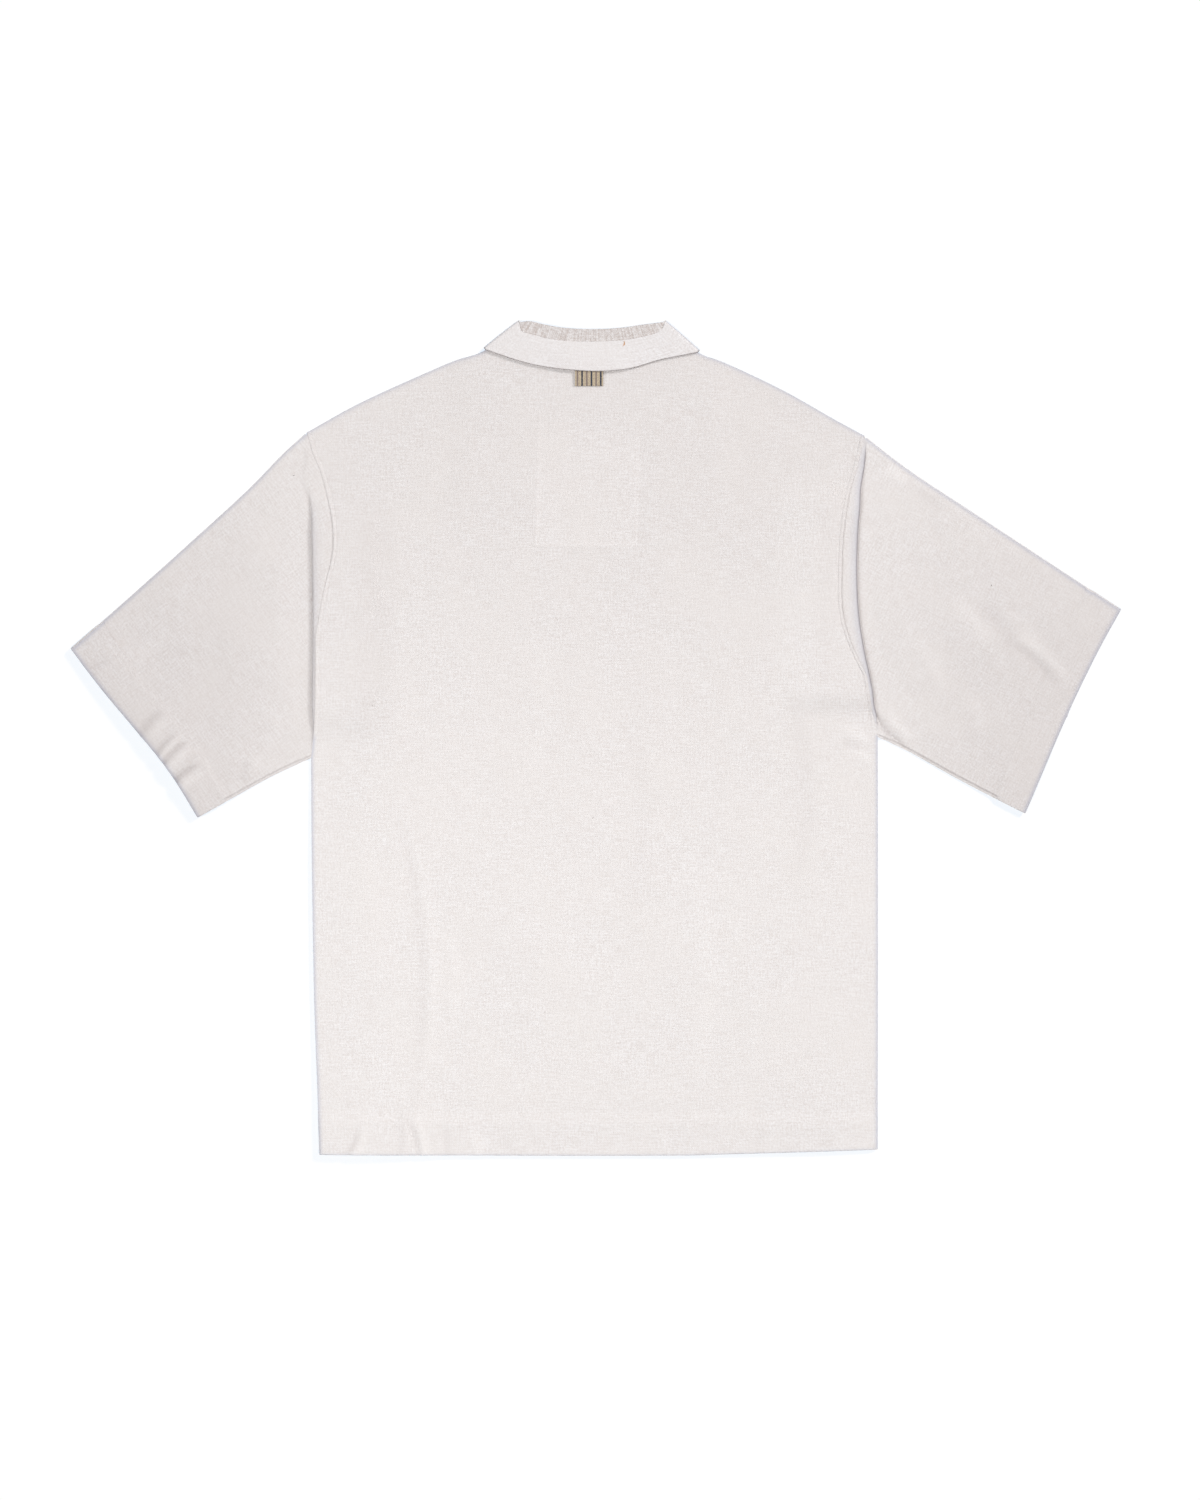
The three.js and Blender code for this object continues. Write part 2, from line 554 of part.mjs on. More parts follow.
// Stations round the collar: places on the neckline, roll, leaf seam and leaf edge, and the turn
function collarStations() {
  const axis = (side) => {
    const { top, bottom } = NECK_SIDE[side];
    const start = point(top.x, top.y);
    const way = point(bottom.x, bottom.y).sub(start);
    const outward = point(way.y, -way.x).normalize().multiplyScalar(side === 'left' ? 1 : -1);
    start.addScaledVector(outward, -COLLAR_EDGE);
    const place = (share) => start.clone().addScaledVector(way, share);
    const { seam, stand } = NECK_SIDE_SHARE;
    return { neck: place(stand), roll: place(0), seam: place(seam), edge: place(1), outward };
  };
  const left = axis('left');
  const right = axis('right');
  const back = {
    neck: spaced(points(NECKLINE.back), NECK_BACK_STEPS),
    roll: spaced([left.roll, ...points(ROLL.back), right.roll], NECK_BACK_STEPS),
    seam: spaced([left.seam, ...points(LEAF_SEAM.back), right.seam], NECK_BACK_STEPS),
    edge: spaced([left.edge, ...points(LEAF_EDGE.back), right.edge], NECK_BACK_STEPS),
  };
  const front = (side, ends) => {
    const name = side === 'left' ? 'frontLeft' : 'frontRight';
    const stretch = {
      neck: spaced(points(NECKLINE[name]), NECK_FRONT_STEPS),
      roll: spaced([ends.roll, ...points(ROLL[name])], NECK_FRONT_STEPS),
      seam: spaced([ends.seam, ...points(LEAF_SEAM[name])], NECK_FRONT_STEPS),
      edge: spaced([ends.edge, ...points(LEAF_EDGE[name])], NECK_FRONT_STEPS),
    };
    const clear = SLIT.width / 2 + GAP;
    const limit = SLIT.x - (side === 'left' ? clear : -clear);
    const [before, end] = stretch.neck.slice(-2);
    const share = (limit - before.x) / (end.x - before.x);
    stretch.neck[NECK_FRONT_STEPS] = before.clone().lerp(end, share);
    return stretch;
  };
  const station = (stretch, i, turn, outward) => ({
    neck: stretch.neck[i], roll: stretch.roll[i], seam: stretch.seam[i], edge: stretch.edge[i],
    turn, outward,
  });
  const side = (ends, stretch, i) => steps(COLLAR_TURN_STEPS).slice(1, -1)
    .map((share) => station(stretch, i, BACK_TURN - Math.PI * share, ends.outward));
  const frontLeft = front('left', left);
  const frontRight = front('right', right);
  const frontStations = (stretch, ends) => stretch.neck.map((_, i) =>
    station(stretch, i, -BACK_TURN, ends.outward));
  const backStations = back.neck.map((_, i) => station(back, i, BACK_TURN, left.outward));
  return [
    ...frontStations(frontLeft, left).reverse(),
    ...side(left, back, 0).reverse(),
    ...backStations,
    ...side(right, back, NECK_BACK_STEPS),
    ...frontStations(frontRight, right),
  ];
}

// A place on the collar: a plan point, moved off the middle height by an offset
function collarPoint(place, { turn, outward }, offset) {
  const result = place.clone().addScaledVector(outward, Math.cos(turn) * offset);
  result.z = NECK_MIDDLE + Math.sin(turn) * offset;
  return result;
}

function standGeometry() {
  const grid = collarStations().map((station) => {
    const { neck, roll, seam } = station;
    const way = roll.clone().sub(neck).normalize();
    const foot = neck.clone().addScaledVector(way, SEAM);
    const crown = roll.clone().addScaledVector(way, -ROLL_BULGE - CLOTH / 2);
    const down = seam.clone().sub(crown);
    const tail = crown.clone().addScaledVector(down, 1 - SEAM / 2 / down.length());
    const inner = steps(STAND_STEPS).map((share) =>
      collarPoint(foot.clone().lerp(crown, share), station, INNER_OFFSET));
    const turn = steps(ROLL_STEPS).slice(1).map((share) => {
      const angle = Math.PI * share;
      const place = crown.clone().addScaledVector(way, ROLL_BULGE * Math.sin(angle));
      return collarPoint(place, station, LAYER - (LAYER / 2) * Math.cos(angle));
    });
    return [...inner, ...turn, collarPoint(tail, station, OUTER_OFFSET)];
  });
  return wall(grid);
}

// How much higher the leaf lies over the tape, at a share of its way from seam to edge
function tapeRide(x, down) {
  const { lift, half, fade, from, to } = TAPE_RIDE;
  const aside = Math.abs(x - (TAB.left + TAB.right) / 2);
  return lift * smooth(half + fade, half, aside) * smooth(from, to, down);
}

function leafGeometry() {
  const grid = collarStations().map((station) => {
    const { seam, edge, turn } = station;
    const down = edge.clone().sub(seam);
    const from = SEAM / 2 / down.length();
    return steps(LEAF_STEPS).map((share) => {
      const place = seam.clone().addScaledVector(down, from + (1 - from) * share);
      const lift = turn === BACK_TURN ? tapeRide(place.x, share) : 0;
      return collarPoint(place, station, OUTER_OFFSET + lift);
    });
  });
  return wall(grid);
}

function facingGeometry() {
  const { left, right, top, bottom, lean } = FACING;
  const curve = [...points(NECKLINE.frontLeft), ...points(NECKLINE.frontRight).reverse().slice(1)];
  const inside = curve.filter((place) => place.y < top - 1);
  const upper = spaced([point(left, top), ...inside, point(right, top)], FACING.steps);
  const lower = spaced([point(left + lean, bottom), point(right + lean, bottom)], FACING.steps);
  const edge = (from, to) => spaced([from.clone(), to.clone()], FACING.steps);
  const last = FACING.steps;
  const grid = patch(lower, upper, edge(lower[0], upper[0]), edge(lower[last], upper[last]));
  grid.forEach((row) => row.forEach((place) => {
    place.z = frontHeight(place.x, place.y) + LAYER + EASE;
  }));
  return cut(wall(grid), slitCutter());
}

function tabGeometry() {
  const grid = steps(TAB.steps).map((up) => steps(TAB.steps).map((across) => {
    const x = TAB.left + (TAB.right - TAB.left) * across;
    const y = TAB.bottom + (TAB.top - TAB.bottom) * up;
    return point(x, y, backHeight(x, y) + LAYER + 2 * EASE);
  }));
  return wall(grid);
}

// Cloth, natural linen and woven tape, as plain colours
const finish = (color, roughness) => new THREE.MeshStandardMaterial({ color, roughness, metalness: 0 });
const PARTS = [
  { name: 'front', geometry: frontGeometry(), material: finish(0xe6e0dd, 0.92) },
  { name: 'back', geometry: backGeometry(), material: finish(0xefeae7, 0.92) },
  { name: 'sleeve_left', geometry: sleeveGeometry('left'), material: finish(0xe3dddb, 0.92) },
  { name: 'sleeve_right', geometry: sleeveGeometry('right'), material: finish(0xe3dddb, 0.92) },
  { name: 'collar_stand', geometry: standGeometry(), material: finish(0xe0dad8, 0.95) },
  { name: 'collar_leaf', geometry: leafGeometry(), material: finish(0xeeeae9, 0.92) },
  { name: 'neck_facing', geometry: facingGeometry(), material: finish(0xefeae7, 0.92) },
  { name: 'hang_tab', geometry: tabGeometry(), material: finish(0xb5a48e, 0.9) },
];

const shirt = new THREE.Group();
for (const { name, geometry, material } of PARTS) {
  geometry.translate(0, CENTRING, 0);
  const mesh = new THREE.Mesh(geometry, material);
  mesh.name = name;
  shirt.add(mesh);
}

export default shirt;
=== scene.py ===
import math

import bpy
import numpy as np
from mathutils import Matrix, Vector


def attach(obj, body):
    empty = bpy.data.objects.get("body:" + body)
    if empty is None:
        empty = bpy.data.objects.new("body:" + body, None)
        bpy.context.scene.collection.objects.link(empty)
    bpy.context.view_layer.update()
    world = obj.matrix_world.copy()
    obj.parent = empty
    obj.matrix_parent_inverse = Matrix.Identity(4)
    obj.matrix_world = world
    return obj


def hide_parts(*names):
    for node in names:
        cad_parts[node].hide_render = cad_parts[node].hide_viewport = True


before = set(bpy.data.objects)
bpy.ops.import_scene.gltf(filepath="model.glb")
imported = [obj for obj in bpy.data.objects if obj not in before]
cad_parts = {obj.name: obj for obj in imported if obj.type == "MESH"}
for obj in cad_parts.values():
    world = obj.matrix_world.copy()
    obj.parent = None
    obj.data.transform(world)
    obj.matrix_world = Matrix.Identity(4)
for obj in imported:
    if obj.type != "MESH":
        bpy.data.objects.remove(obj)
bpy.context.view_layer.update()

MM = 0.001
BODY = "root"
CENTRING = 0.34  # the tables' origin is this much above the middle of the outline, in y

# Cloth and its layers
CLOTH = 0.7  # one layer of the linen and cotton cloth
LAYER = 1.4  # height from one layer to the next
TURNING = 0.9  # from the outer cloth to the part of a hem that is turned in
LEAF_CLOTH = 1.3  # the collar leaf is two layers, turned in at the edge
STAND_CLOTH = 0.9
TAPE_CLOTH = 0.6
HEM_DEPTH = 33
CUFF_DEPTH = 31
CUFF_INSIDE = {"inward": 0.9, "upward": 0.55, "ease": 4}  # how the turned part shrinks inside
BODY_LOFT = {"height": 2.2, "side": 60, "hem": 60, "top": (15, 60)}
SLEEVE_FORM = {"loft": 2.0, "fullness": 0.7, "lay": 3, "creases": 4}  # the last two: rise at the edges
SIDE_ROLL = 5.0  # width over which a side of the body rounds down to its seam
SEAM_HEIGHT = {"front": 0.7, "back": 1.4}  # centre of each cloth at the side seam

# Armhole: the body's edge lies on the sleeve's, with a row of topstitching beside it
ARMHOLE = {"stitch": 3.6, "ridge": 0.4, "edge": 0.8, "groove": 0.4, "groove_width": 0.6, "dip": 0.7}
SEAM = 0.35
UNDER_SEAM = {"inset": 3.6, "step": 0.8, "second": 1.5, "soft": 0.4}  # along a sleeve's lower edge
UNDERARM = -10
SIDE_BLEND = (UNDERARM + 6, UNDERARM - 30)  # heights between which the side's roll starts
ARMHOLE_BLEND = (UNDERARM + 10, UNDERARM + 40)  # heights between which the armhole's seam starts

# Tuck at each armhole, where the top layer of the sleeve folds under the body
TUCK_RADIUS = LAYER / 2
TUCK_EDGE = TUCK_RADIUS + 0.6
TUCK_LEAD = 14
OPEN_CLOTH = {"beyond": 1, "turn": 0.05}  # where the cloth beside a tuck isn't folded under
LEAD_EASE = (10, 0)  # the sleeve's loft and seam fade out over these lengths before a tuck
SEAM_EASE = (14, 9)
TURN_STEPS = 8
CUFF_TURN = (0.75, 0.5, 0.25)  # shares of the half turn at a cuff's fold
LEAST_STEP = 0.1
UNDER_FADE = 6  # rows over which the sleeve's edge runs in under the body
FOLD_ROLL = {"height": 2.2, "width": 8}  # how far the cloth above a tuck stands up beside its fold
LEAD_STATIONS = (0, 4, 7.5, 10, 11.8, 13, 13.8)
ROLL_SHARES = (0.02, 0.05, 0.1, 0.16, 0.24, 0.34, 0.48, 0.64, 0.82, 1)

# Collar, measured from the middle height between the two layers of the neck
NECK_MIDDLE = CLOTH / 2 + 1.5 * LAYER
INNER_OFFSET = LAYER / 2
OUTER_OFFSET = 1.5 * LAYER
LEAF_OFFSET = {"front": 1.75, "back": 3.0}
COLLAR_EDGE = 2.85
ROLL_BULGE = 1.2
CROWN = ROLL_BULGE + 0.6  # from the stand's top to where its roll starts
STAND_TAIL = 1.5  # how far the stand runs in under the leaf
LEAF_BELLY = {"rise": 0.5, "dip": 0.25, "start": 0.06}
NECK_LIFT = {"half": 112, "fade": 32, "low": 185, "high": 240}
NECK_SIDE_SHARE = {"seam": 0.04, "stand": 0.77}
TAPE_RIDE = {"lift": 1.0, "half": 20, "fade": 24, "start": (0.05, 0.5)}

# Fineness of the sheets, as counts of steps
STEPS = {
    "side": 92, "under": 30, "armhole": 70, "left_shoulder": 84, "right_shoulder": 54, "neck": 42,
    "front_neck": 22, "front_armhole": 72, "sleeve": 70, "collar_back": 64, "collar_front": 34,
    "collar_turn": 10, "facing": 30,
}

SLIT = {"x": -7.6, "width": 3, "bottom": 206, "top": 300}
FACING = {"left": -54.6, "right": 42.8, "top": 313.5, "bottom": 180.5, "lean": -3.6, "layer": 0.75}
TAB = {"left": -19.9, "right": 6.7, "bottom": 333.2, "top": 353.5, "fold": 0.5, "above": 0.45, "bulge": 0.5}
PLAIN_BODY = {"left": -270, "right": 267, "hem": -396}
SHOULDER_LINE = {"middle": -4, "half": 94, "y": 372, "slope": 0.48, "blend": (98, 106)}
NECK_CIRCLE = {"y": 560, "radius": 201}


def table(columns, *rows):
    """Rows as dictionaries with the named columns."""
    return [dict(zip(columns.split(), row)) for row in rows]


HEM = {
    "left": table("x y", (-262.2, -395.4), (-175, -395.9), (-88, -396.3)),
    "middle": table("x y", (-88, -396.3), (0, -396.6), (88, -396.3)),
    "right": table("x y", (88, -396.3), (190, -393.3), (267, -390.8)),
}
SIDE = {
    "left": table("x y", (-262.2, -395.4), (-264.3, -330), (-267, -260), (-269.5, -120), (-270.4, -20)),
    "right": table("x y", (267, -390.8), (267.4, -297), (267.5, -107), (267.4, 0)),
}
UNDER = {
    "left": table("x y", (-270.4, -20), (-267.6, 5), (-266.3, 35), (-266, 96)),
    "right": table("x y", (267.4, 0), (263, 22), (256.8, 57)),
}
BACK_ARMHOLE = {
    "left": table("x y", (-266, 96), (-258.4, 138), (-250.8, 168), (-249, 184), (-250.8, 208),
                  (-262.2, 253), (-268.8, 268), (-274.6, 289)),
    "right": table("x y", (256.8, 57), (241.3, 90), (233.7, 118), (232.8, 160), (234.6, 194),
                   (240.3, 231), (248, 257), (254.8, 285.9)),
}
FRONT_ARMHOLE = {
    "left": table("x y", (-270.4, -20), (-266, 35), (-263, 111), (-266, 168), (-271.7, 211),
                  (-278.3, 231), (-280.6, 250), (-274.6, 289)),
    "right": table("x y", (267.4, 0), (263, 50), (260, 111), (262, 168), (265, 211),
                   (267, 235), (266, 256), (254.8, 285.9)),
}
FOLD = {
    "left": table("x y", (-276.4, 288), (-272.6, 225), (-270.8, 187), (-269.9, 130), (-269.9, 96),
                  (-270.6, 35), (-270.4, -20)),
    "right": table("x y", (257.4, 284.5), (252.7, 226), (249.8, 194), (248.9, 152), (250.8, 115),
                   (256, 81), (261.2, 57), (267.2, 22), (267.4, 0)),
}
SHOULDER = {
    "left": table("x y", (-274.6, 289), (-228, 315), (-166.2, 343.5), (-133, 357.5), (-111, 364.2),
                  (-97.4, 371.6)),
    "right": table("x y", (254.8, 285.9), (227, 301), (176.7, 329.4), (117.8, 356.8), (103, 361.8),
                   (88.5, 369.2)),
}
NECKLINE = {
    "back": table("x y", (-97.4, 371.6), (-72, 364.6), (-34, 360), (-4, 358.5), (32, 360), (66, 364),
                  (88.5, 369.2)),
    "left": table("x y", (-97.4, 371.6), (-79.8, 341), (-56, 313.5), (-32.3, 289.8), (-7.6, 275.5)),
    "right": table("x y", (88.5, 369.2), (66, 341), (41, 313.5), (17, 289.8), (-7.6, 275.5)),
}
TUCK = {
    "left": {"inward": 1, "depth": 13, "fade": (-185, -235), "turn": (252, 186, 30, -12),
             "deep": (208, 150, 62, 32), "shade": (236, 200, 0, -22)},
    "right": {"inward": -1, "depth": 13, "fade": (165, 215), "turn": (262, 210, 46, 14),
              "deep": (225, 165, 70, 44), "shade": (290, 262, 24, 4)},
}
SLEEVE = {
    "left": {
        "upper": table("x y", (-276.4, 288), (-297, 269.4), (-327, 238.4), (-388, 182.4),
                       (-448.4, 128.2), (-497.8, 84.5)),
        "cuff": table("x y", (-497.8, 84.5), (-471, 49), (-416, -16.6), (-398, -41.4), (-377.1, -76)),
        "lower": table("x y", (-377.1, -76), (-346, -58.6), (-306, -36.4), (-270.4, -20)),
    },
    "right": {
        "upper": table("x y", (257.4, 284.5), (276, 269.6), (302, 250.4), (354.3, 216), (434, 163.6),
                       (497.8, 121.6)),
        "cuff": table("x y", (497.8, 121.6), (475.9, 81.7), (451.2, 31), (430.3, -16.6), (406.6, -72.2)),
        "lower": table("x y", (406.6, -72.2), (379, -58.4), (341, -38.4), (295.4, -13), (267.4, 0)),
    },
}
ROLL = {
    "back": table("x y", (-63, 394.6), (-49.4, 391.6), (-32, 388.6), (-4, 387.2), (25, 388.6), (43, 391.2)),
    "left": table("x y", (-60, 360), (-40, 330), (-24, 313), (-9.6, 303)),
    "right": table("x y", (52, 360), (32, 330), (12, 313), (-5.6, 303)),
}
LEAF_SEAM = {
    "back": table("x y", (-72, 388.6), (-70.4, 385.2), (-66, 383.2), (-56, 380.8), (-45.6, 378.1),
                  (-23, 375.6), (9, 375.6), (31.8, 377.4), (58.5, 384), (63.5, 388.6)),
    "left": table("x y", (-68, 356), (-49, 322), (-31, 303), (-14, 292)),
    "right": table("x y", (60, 356), (41, 322), (19, 303), (-1, 292)),
}
LEAF_EDGE = {
    "back": table("x y", (-70.3, 355.8), (-46.5, 350.6), (-21, 347.7), (7.6, 346.8), (33, 349.6),
                  (60.8, 357.6)),
    "left": table("x y", (-104, 338), (-97, 292), (-84, 248)),
    "right": table("x y", (96, 338), (89, 292), (76, 248)),
}
NECK_SIDE = {
    "left": {"top": (-73, 395.8), "bottom": (-106.4, 369.4)},
    "right": {"top": (65.2, 395.8), "bottom": (98.3, 366.8)},
}

# Places where the cloth stands off the table
LIFTS = table(
    "x y radius height",
    (-214, -400, 70, 5.5), (-268, -330, 60, 1.8), (-272, -240, 70, 1.8), (-272, -130, 80, 1.8),
    (-60, -402, 70, 0.8), (90, -402, 70, 0.6), (215, -398, 60, 1.8),
    (-484, 66, 45, 2.2), (-446, 20, 55, 4.2), (-412, -22, 50, 4.6), (-388, -62, 45, 3.0),
    (416, -50, 45, 2.5), (-330, -50, 40, 1.2),
)

# Creases: soft ridges, or troughs where the height is below zero, from one place to another
BODY_CREASES = table(
    "x y to_x to_y width height",
    (-191, -60, -174, -354, 6, -0.4), (-180, -70, -164, -330, 6, 0.3),
    (-139, -180, -141, -290, 6, 0.25), (-225, -372, -241, -403, 3, -1.0),
    (-218, -372, -232, -403, 4, 0.5), (-188, -352, -188, -404, 4, -0.6),
    (-179, -360, -168, -405, 2.6, -1.1), (-172, -360, -162, -405, 4, 0.5),
    (-144, -366, -143, -404, 4, -0.5), (-119, -372, -111, -406, 5, 0.5),
    (-90, -376, -80, -400, 4, -0.3), (60, -372, 66, -396, 5, 0.3), (158, -370, 152, -392, 4, -0.3),
    (236, 6, 262, -6, 4, 0.7), (234, -4, 250, -14, 3.5, -0.8), (240, -12, 264, -26, 4, 0.6),
    (256, 58, 262, 14, 5, -0.8), (90, -120, 96, -330, 8, 0.25), (180, 60, 190, -150, 9, -0.3),
    (-60, 120, -66, -60, 9, 0.2), (30, 40, 26, -200, 10, -0.2),
)
SLEEVE_CREASES = {
    "left": table(
        "x y to_x to_y width height",
        (-421, -24, -398, 3, 2.6, -1.5), (-416, -27, -392, 2, 4, 0.8),
        (-416, -34, -388, -4, 2.6, -1.6), (-410, -39, -384, -12, 4.5, 0.9),
        (-407, -51, -377, -26, 2.6, -1.8), (-399, -56, -373, -34, 4, 0.8),
        (-437, -6, -411, 26, 4, -1.0), (-424, -4, -406, 16, 5, 0.6), (-479, 62, -462, 74, 4, -0.5),
        (-331, -22, -337, -44, 6, -0.5), (-322, -18, -330, -40, 6, 0.5),
        (-318, 30, -300, 4, 5, 0.3), (-277, 274, -281, 244, 2, -0.5),
        (-281, 246, -273, 212, 2, -0.6), (-440, 70, -404, 96, 8, 0.3),
    ),
    "right": table(
        "x y to_x to_y width height",
        (387, 92, 441, 46, 5, -0.7), (392, 100, 446, 54, 6, 0.6), (336, 132, 372, 86, 9, 0.5),
        (362, 126, 400, 84, 7, -0.5), (384, 122, 420, 82, 7, 0.4), (300, 100, 330, 40, 10, 0.3),
        (350, 40, 372, 0, 8, 0.3), (299, -15, 259, 30, 2.4, -2.4), (304, -4, 274, 26, 5, 0.5),
        (272, 255, 296, 240, 6, 0.8), (300, 236, 330, 214, 6, -0.5),
    ),
}


# Lines and grids

def points(rows):
    return np.array([(row["x"], row["y"]) for row in rows], float)


def smooth(start, end, value):
    share = np.clip((np.asarray(value, float) - start) / (end - start), 0, 1)
    return share * share * (3 - 2 * share)


def run_of(line):
    """Length from the start of a line to each of its points."""
    return np.concatenate([[0], np.cumsum(np.linalg.norm(np.diff(line, axis=0), axis=1))])


def curve(knots, fine=24):
    """A smooth line through the knots, finely divided."""
    knots = np.asarray(knots, float)
    line = np.vstack([2 * knots[0] - knots[1], knots, 2 * knots[-1] - knots[-2]])
    stretches = []
    for a, b, c, d in zip(line, line[1:], line[2:], line[3:]):
        t = np.concatenate([[0], np.cumsum([math.dist(*pair) ** 0.5 for pair in ((a, b), (b, c), (c, d))])])
        at = np.linspace(t[1], t[2], fine, endpoint=False)[:, None]
        mix = lambda p, q, start, end: (p * (end - at) + q * (at - start)) / (end - start)
        ab, bc, cd = mix(a, b, t[0], t[1]), mix(b, c, t[1], t[2]), mix(c, d, t[2], t[3])
        abc, bcd = mix(ab, bc, t[0], t[2]), mix(bc, cd, t[1], t[3])
        stretches.append(mix(abc, bcd, t[1], t[2]))
    return np.vstack([*stretches, knots[-1:]])


def along(line, shares):
    run = run_of(line)
    places = np.asarray(shares, float) * run[-1]
    return np.column_stack([np.interp(places, run, axis) for axis in line.T])


def spaced(rows, count):
    knots = points(rows) if isinstance(rows[0], dict) else rows
    return along(curve(knots), np.linspace(0, 1, count + 1))


EDGE_STEPS = (0, 0.35, 0.8, 1.4, 2.2, 3.0, 3.6, 4.2, 5.4, 7.2)  # finer steps beside an edge


def edged(rows, count, start=True):
    """Points along a curve, closer together beside its start, or else beside its end."""
    line = curve(points(rows))
    length = run_of(line)[-1]
    near = np.array(EDGE_STEPS) / length
    rest = np.linspace(near[-1], 1, count - len(near) + 2)[1:]
    shares = np.concatenate([near, rest])
    return along(line, shares if start else 1 - shares[::-1])


def unit(ways):
    """Each direction with a length of one."""
    return ways / np.linalg.norm(ways, axis=1)[:, None]


def leftward(line):
    """Directions straight to the left of a line, at each of its points."""
    way = unit(np.gradient(line[:, :2], axis=0))
    return np.column_stack([-way[:, 1], way[:, 0]])


def chain(*stretches):
    return np.vstack([stretches[0], *[stretch[1:] for stretch in stretches[1:]]])


def patch(start, end, first, last):
    """Grid between four edges: start and end run along a row, first and last across the rows."""
    share = lambda line: run_of(line) / run_of(line)[-1]
    u = ((share(first) + share(last)) / 2)[:, None, None]
    v = ((share(start) + share(end)) / 2)[None, :, None]
    sides = first[:, None] * (1 - v) + last[:, None] * v
    ends = start[None] * (1 - u) + end[None] * u
    corners = (start[0] * (1 - u) * (1 - v) + start[-1] * (1 - u) * v + end[0] * u * (1 - v)
               + end[-1] * u * v)
    return sides + ends - corners


def across_at(rows, y):
    line = curve(points(rows))
    order = np.argsort(line[:, 1])
    return np.interp(y, line[order, 1], line[order, 0])


def from_edge(grid, axis, backwards=False):
    """Distance of each point from the first, or last, row or column, along the other direction."""
    grid = np.flip(grid, axis) if backwards else grid
    steps = np.linalg.norm(np.diff(grid, axis=axis), axis=-1)
    first = np.zeros_like(np.take(steps, [0], axis))
    run = np.cumsum(np.concatenate([first, steps], axis), axis)
    return np.flip(run, axis) if backwards else run


def rounded(distance, radius):
    """From 0 at an edge to 1 inside it, as a quarter circle."""
    return np.sqrt(1 - (1 - np.clip(distance / radius, 0, 1)) ** 2)


RIPPLE = {"waves": 9, "bend": 0.25, "lengths": (0.6, 1.6)}


def ripple(x, y, wavelength, seed):
    """Uneven lay of the cloth, mostly within -1 and 1."""
    chance = np.random.default_rng(seed)
    bent_x = x + RIPPLE["bend"] * wavelength * np.sin(y / wavelength * 1.7 + seed)
    bent_y = y + RIPPLE["bend"] * wavelength * np.sin(x / wavelength * 1.3 + 2 * seed)
    total = np.zeros_like(x)
    for _ in range(RIPPLE["waves"]):
        way, phase = chance.uniform(0, 2 * math.pi, 2)
        length = wavelength * chance.uniform(*RIPPLE["lengths"])
        total += np.sin((bent_x * math.cos(way) + bent_y * math.sin(way)) * 2 * math.pi / length + phase)
    return total / math.sqrt(RIPPLE["waves"])


# The seed picks the waves of one lay
LAY = {
    "back": table("height wavelength seed", (0.32, 130, 3), (0.16, 42, 5)),
    "left": table("height wavelength seed", (0.45, 95, 15), (0.2, 34, 21)),
    "right": table("height wavelength seed", (0.45, 95, 16), (0.2, 34, 22)),
    "stand": table("height wavelength seed", (0.12, 18, 23)),
}


def uneven_lay(name, x, y):
    return sum(lay["height"] * ripple(x, y, lay["wavelength"], lay["seed"]) for lay in LAY[name])


CREASE = {"bend": 0.06, "start": (-0.12, 0.3), "end": (1.12, 0.7)}  # shares of its length


def creased(x, y, creases):
    """Height that the creases add at each place."""
    total = np.zeros_like(x)
    for crease in creases:
        start = np.array([crease["x"], crease["y"]])
        way = np.array([crease["to_x"], crease["to_y"]]) - start
        length = math.hypot(*way)
        way = way / length
        run = (x - start[0]) * way[0] + (y - start[1]) * way[1]
        aside = (x - start[0]) * -way[1] + (y - start[1]) * way[0]
        bend = CREASE["bend"] * length * np.sin(math.pi * np.clip(run / length, 0, 1))
        shape = np.exp(-(((aside - bend) / crease["width"]) ** 2))
        ends = smooth(*CREASE["start"], run / length) * smooth(*CREASE["end"], run / length)
        total += crease["height"] * shape * ends
    return total


def stand_off(x, y):
    """Height of the cloth off the table."""
    total = 0
    for lift in LIFTS:
        away = ((x - lift["x"]) ** 2 + (y - lift["y"]) ** 2) / lift["radius"] ** 2
        total = total + lift["height"] * np.exp(-away)
    return total


# Blender helpers

MERGED = 1e-5  # metres
SMOOTH_ANGLE = math.radians(50)
BEVEL_ANGLE = math.radians(60)
ABOVE = 0.1  # metres above the table, from where the top of a piece is found


def settle(piece):
    """Makes one piece the only selected and active one."""
    bpy.ops.object.select_all(action="DESELECT")
    piece.select_set(True)
    bpy.context.view_layer.objects.active = piece


def applied(piece, kind, **settings):
    settle(piece)
    modifier = piece.modifiers.new(kind.lower(), kind)
    for name, value in settings.items():
        setattr(modifier, name, value)
    bpy.ops.object.modifier_apply(modifier=modifier.name)


def edit(piece, *operations):
    settle(piece)
    bpy.ops.object.mode_set(mode="EDIT")
    bpy.ops.mesh.select_all(action="SELECT")
    for operation, settings in operations:
        operation(**settings)
    bpy.ops.object.mode_set(mode="OBJECT")


def with_painted_light(weave, tone=1.0, painted_rim_shade=0.0):
    """Weave coordinates, the painted light and shade at each place as a factor on the colour, and the share
    of painted bluish shade along edges and folds.
    """
    shape = weave.shape[:2]
    return np.dstack([weave, np.broadcast_to(tone, shape), np.broadcast_to(painted_rim_shade, shape)])


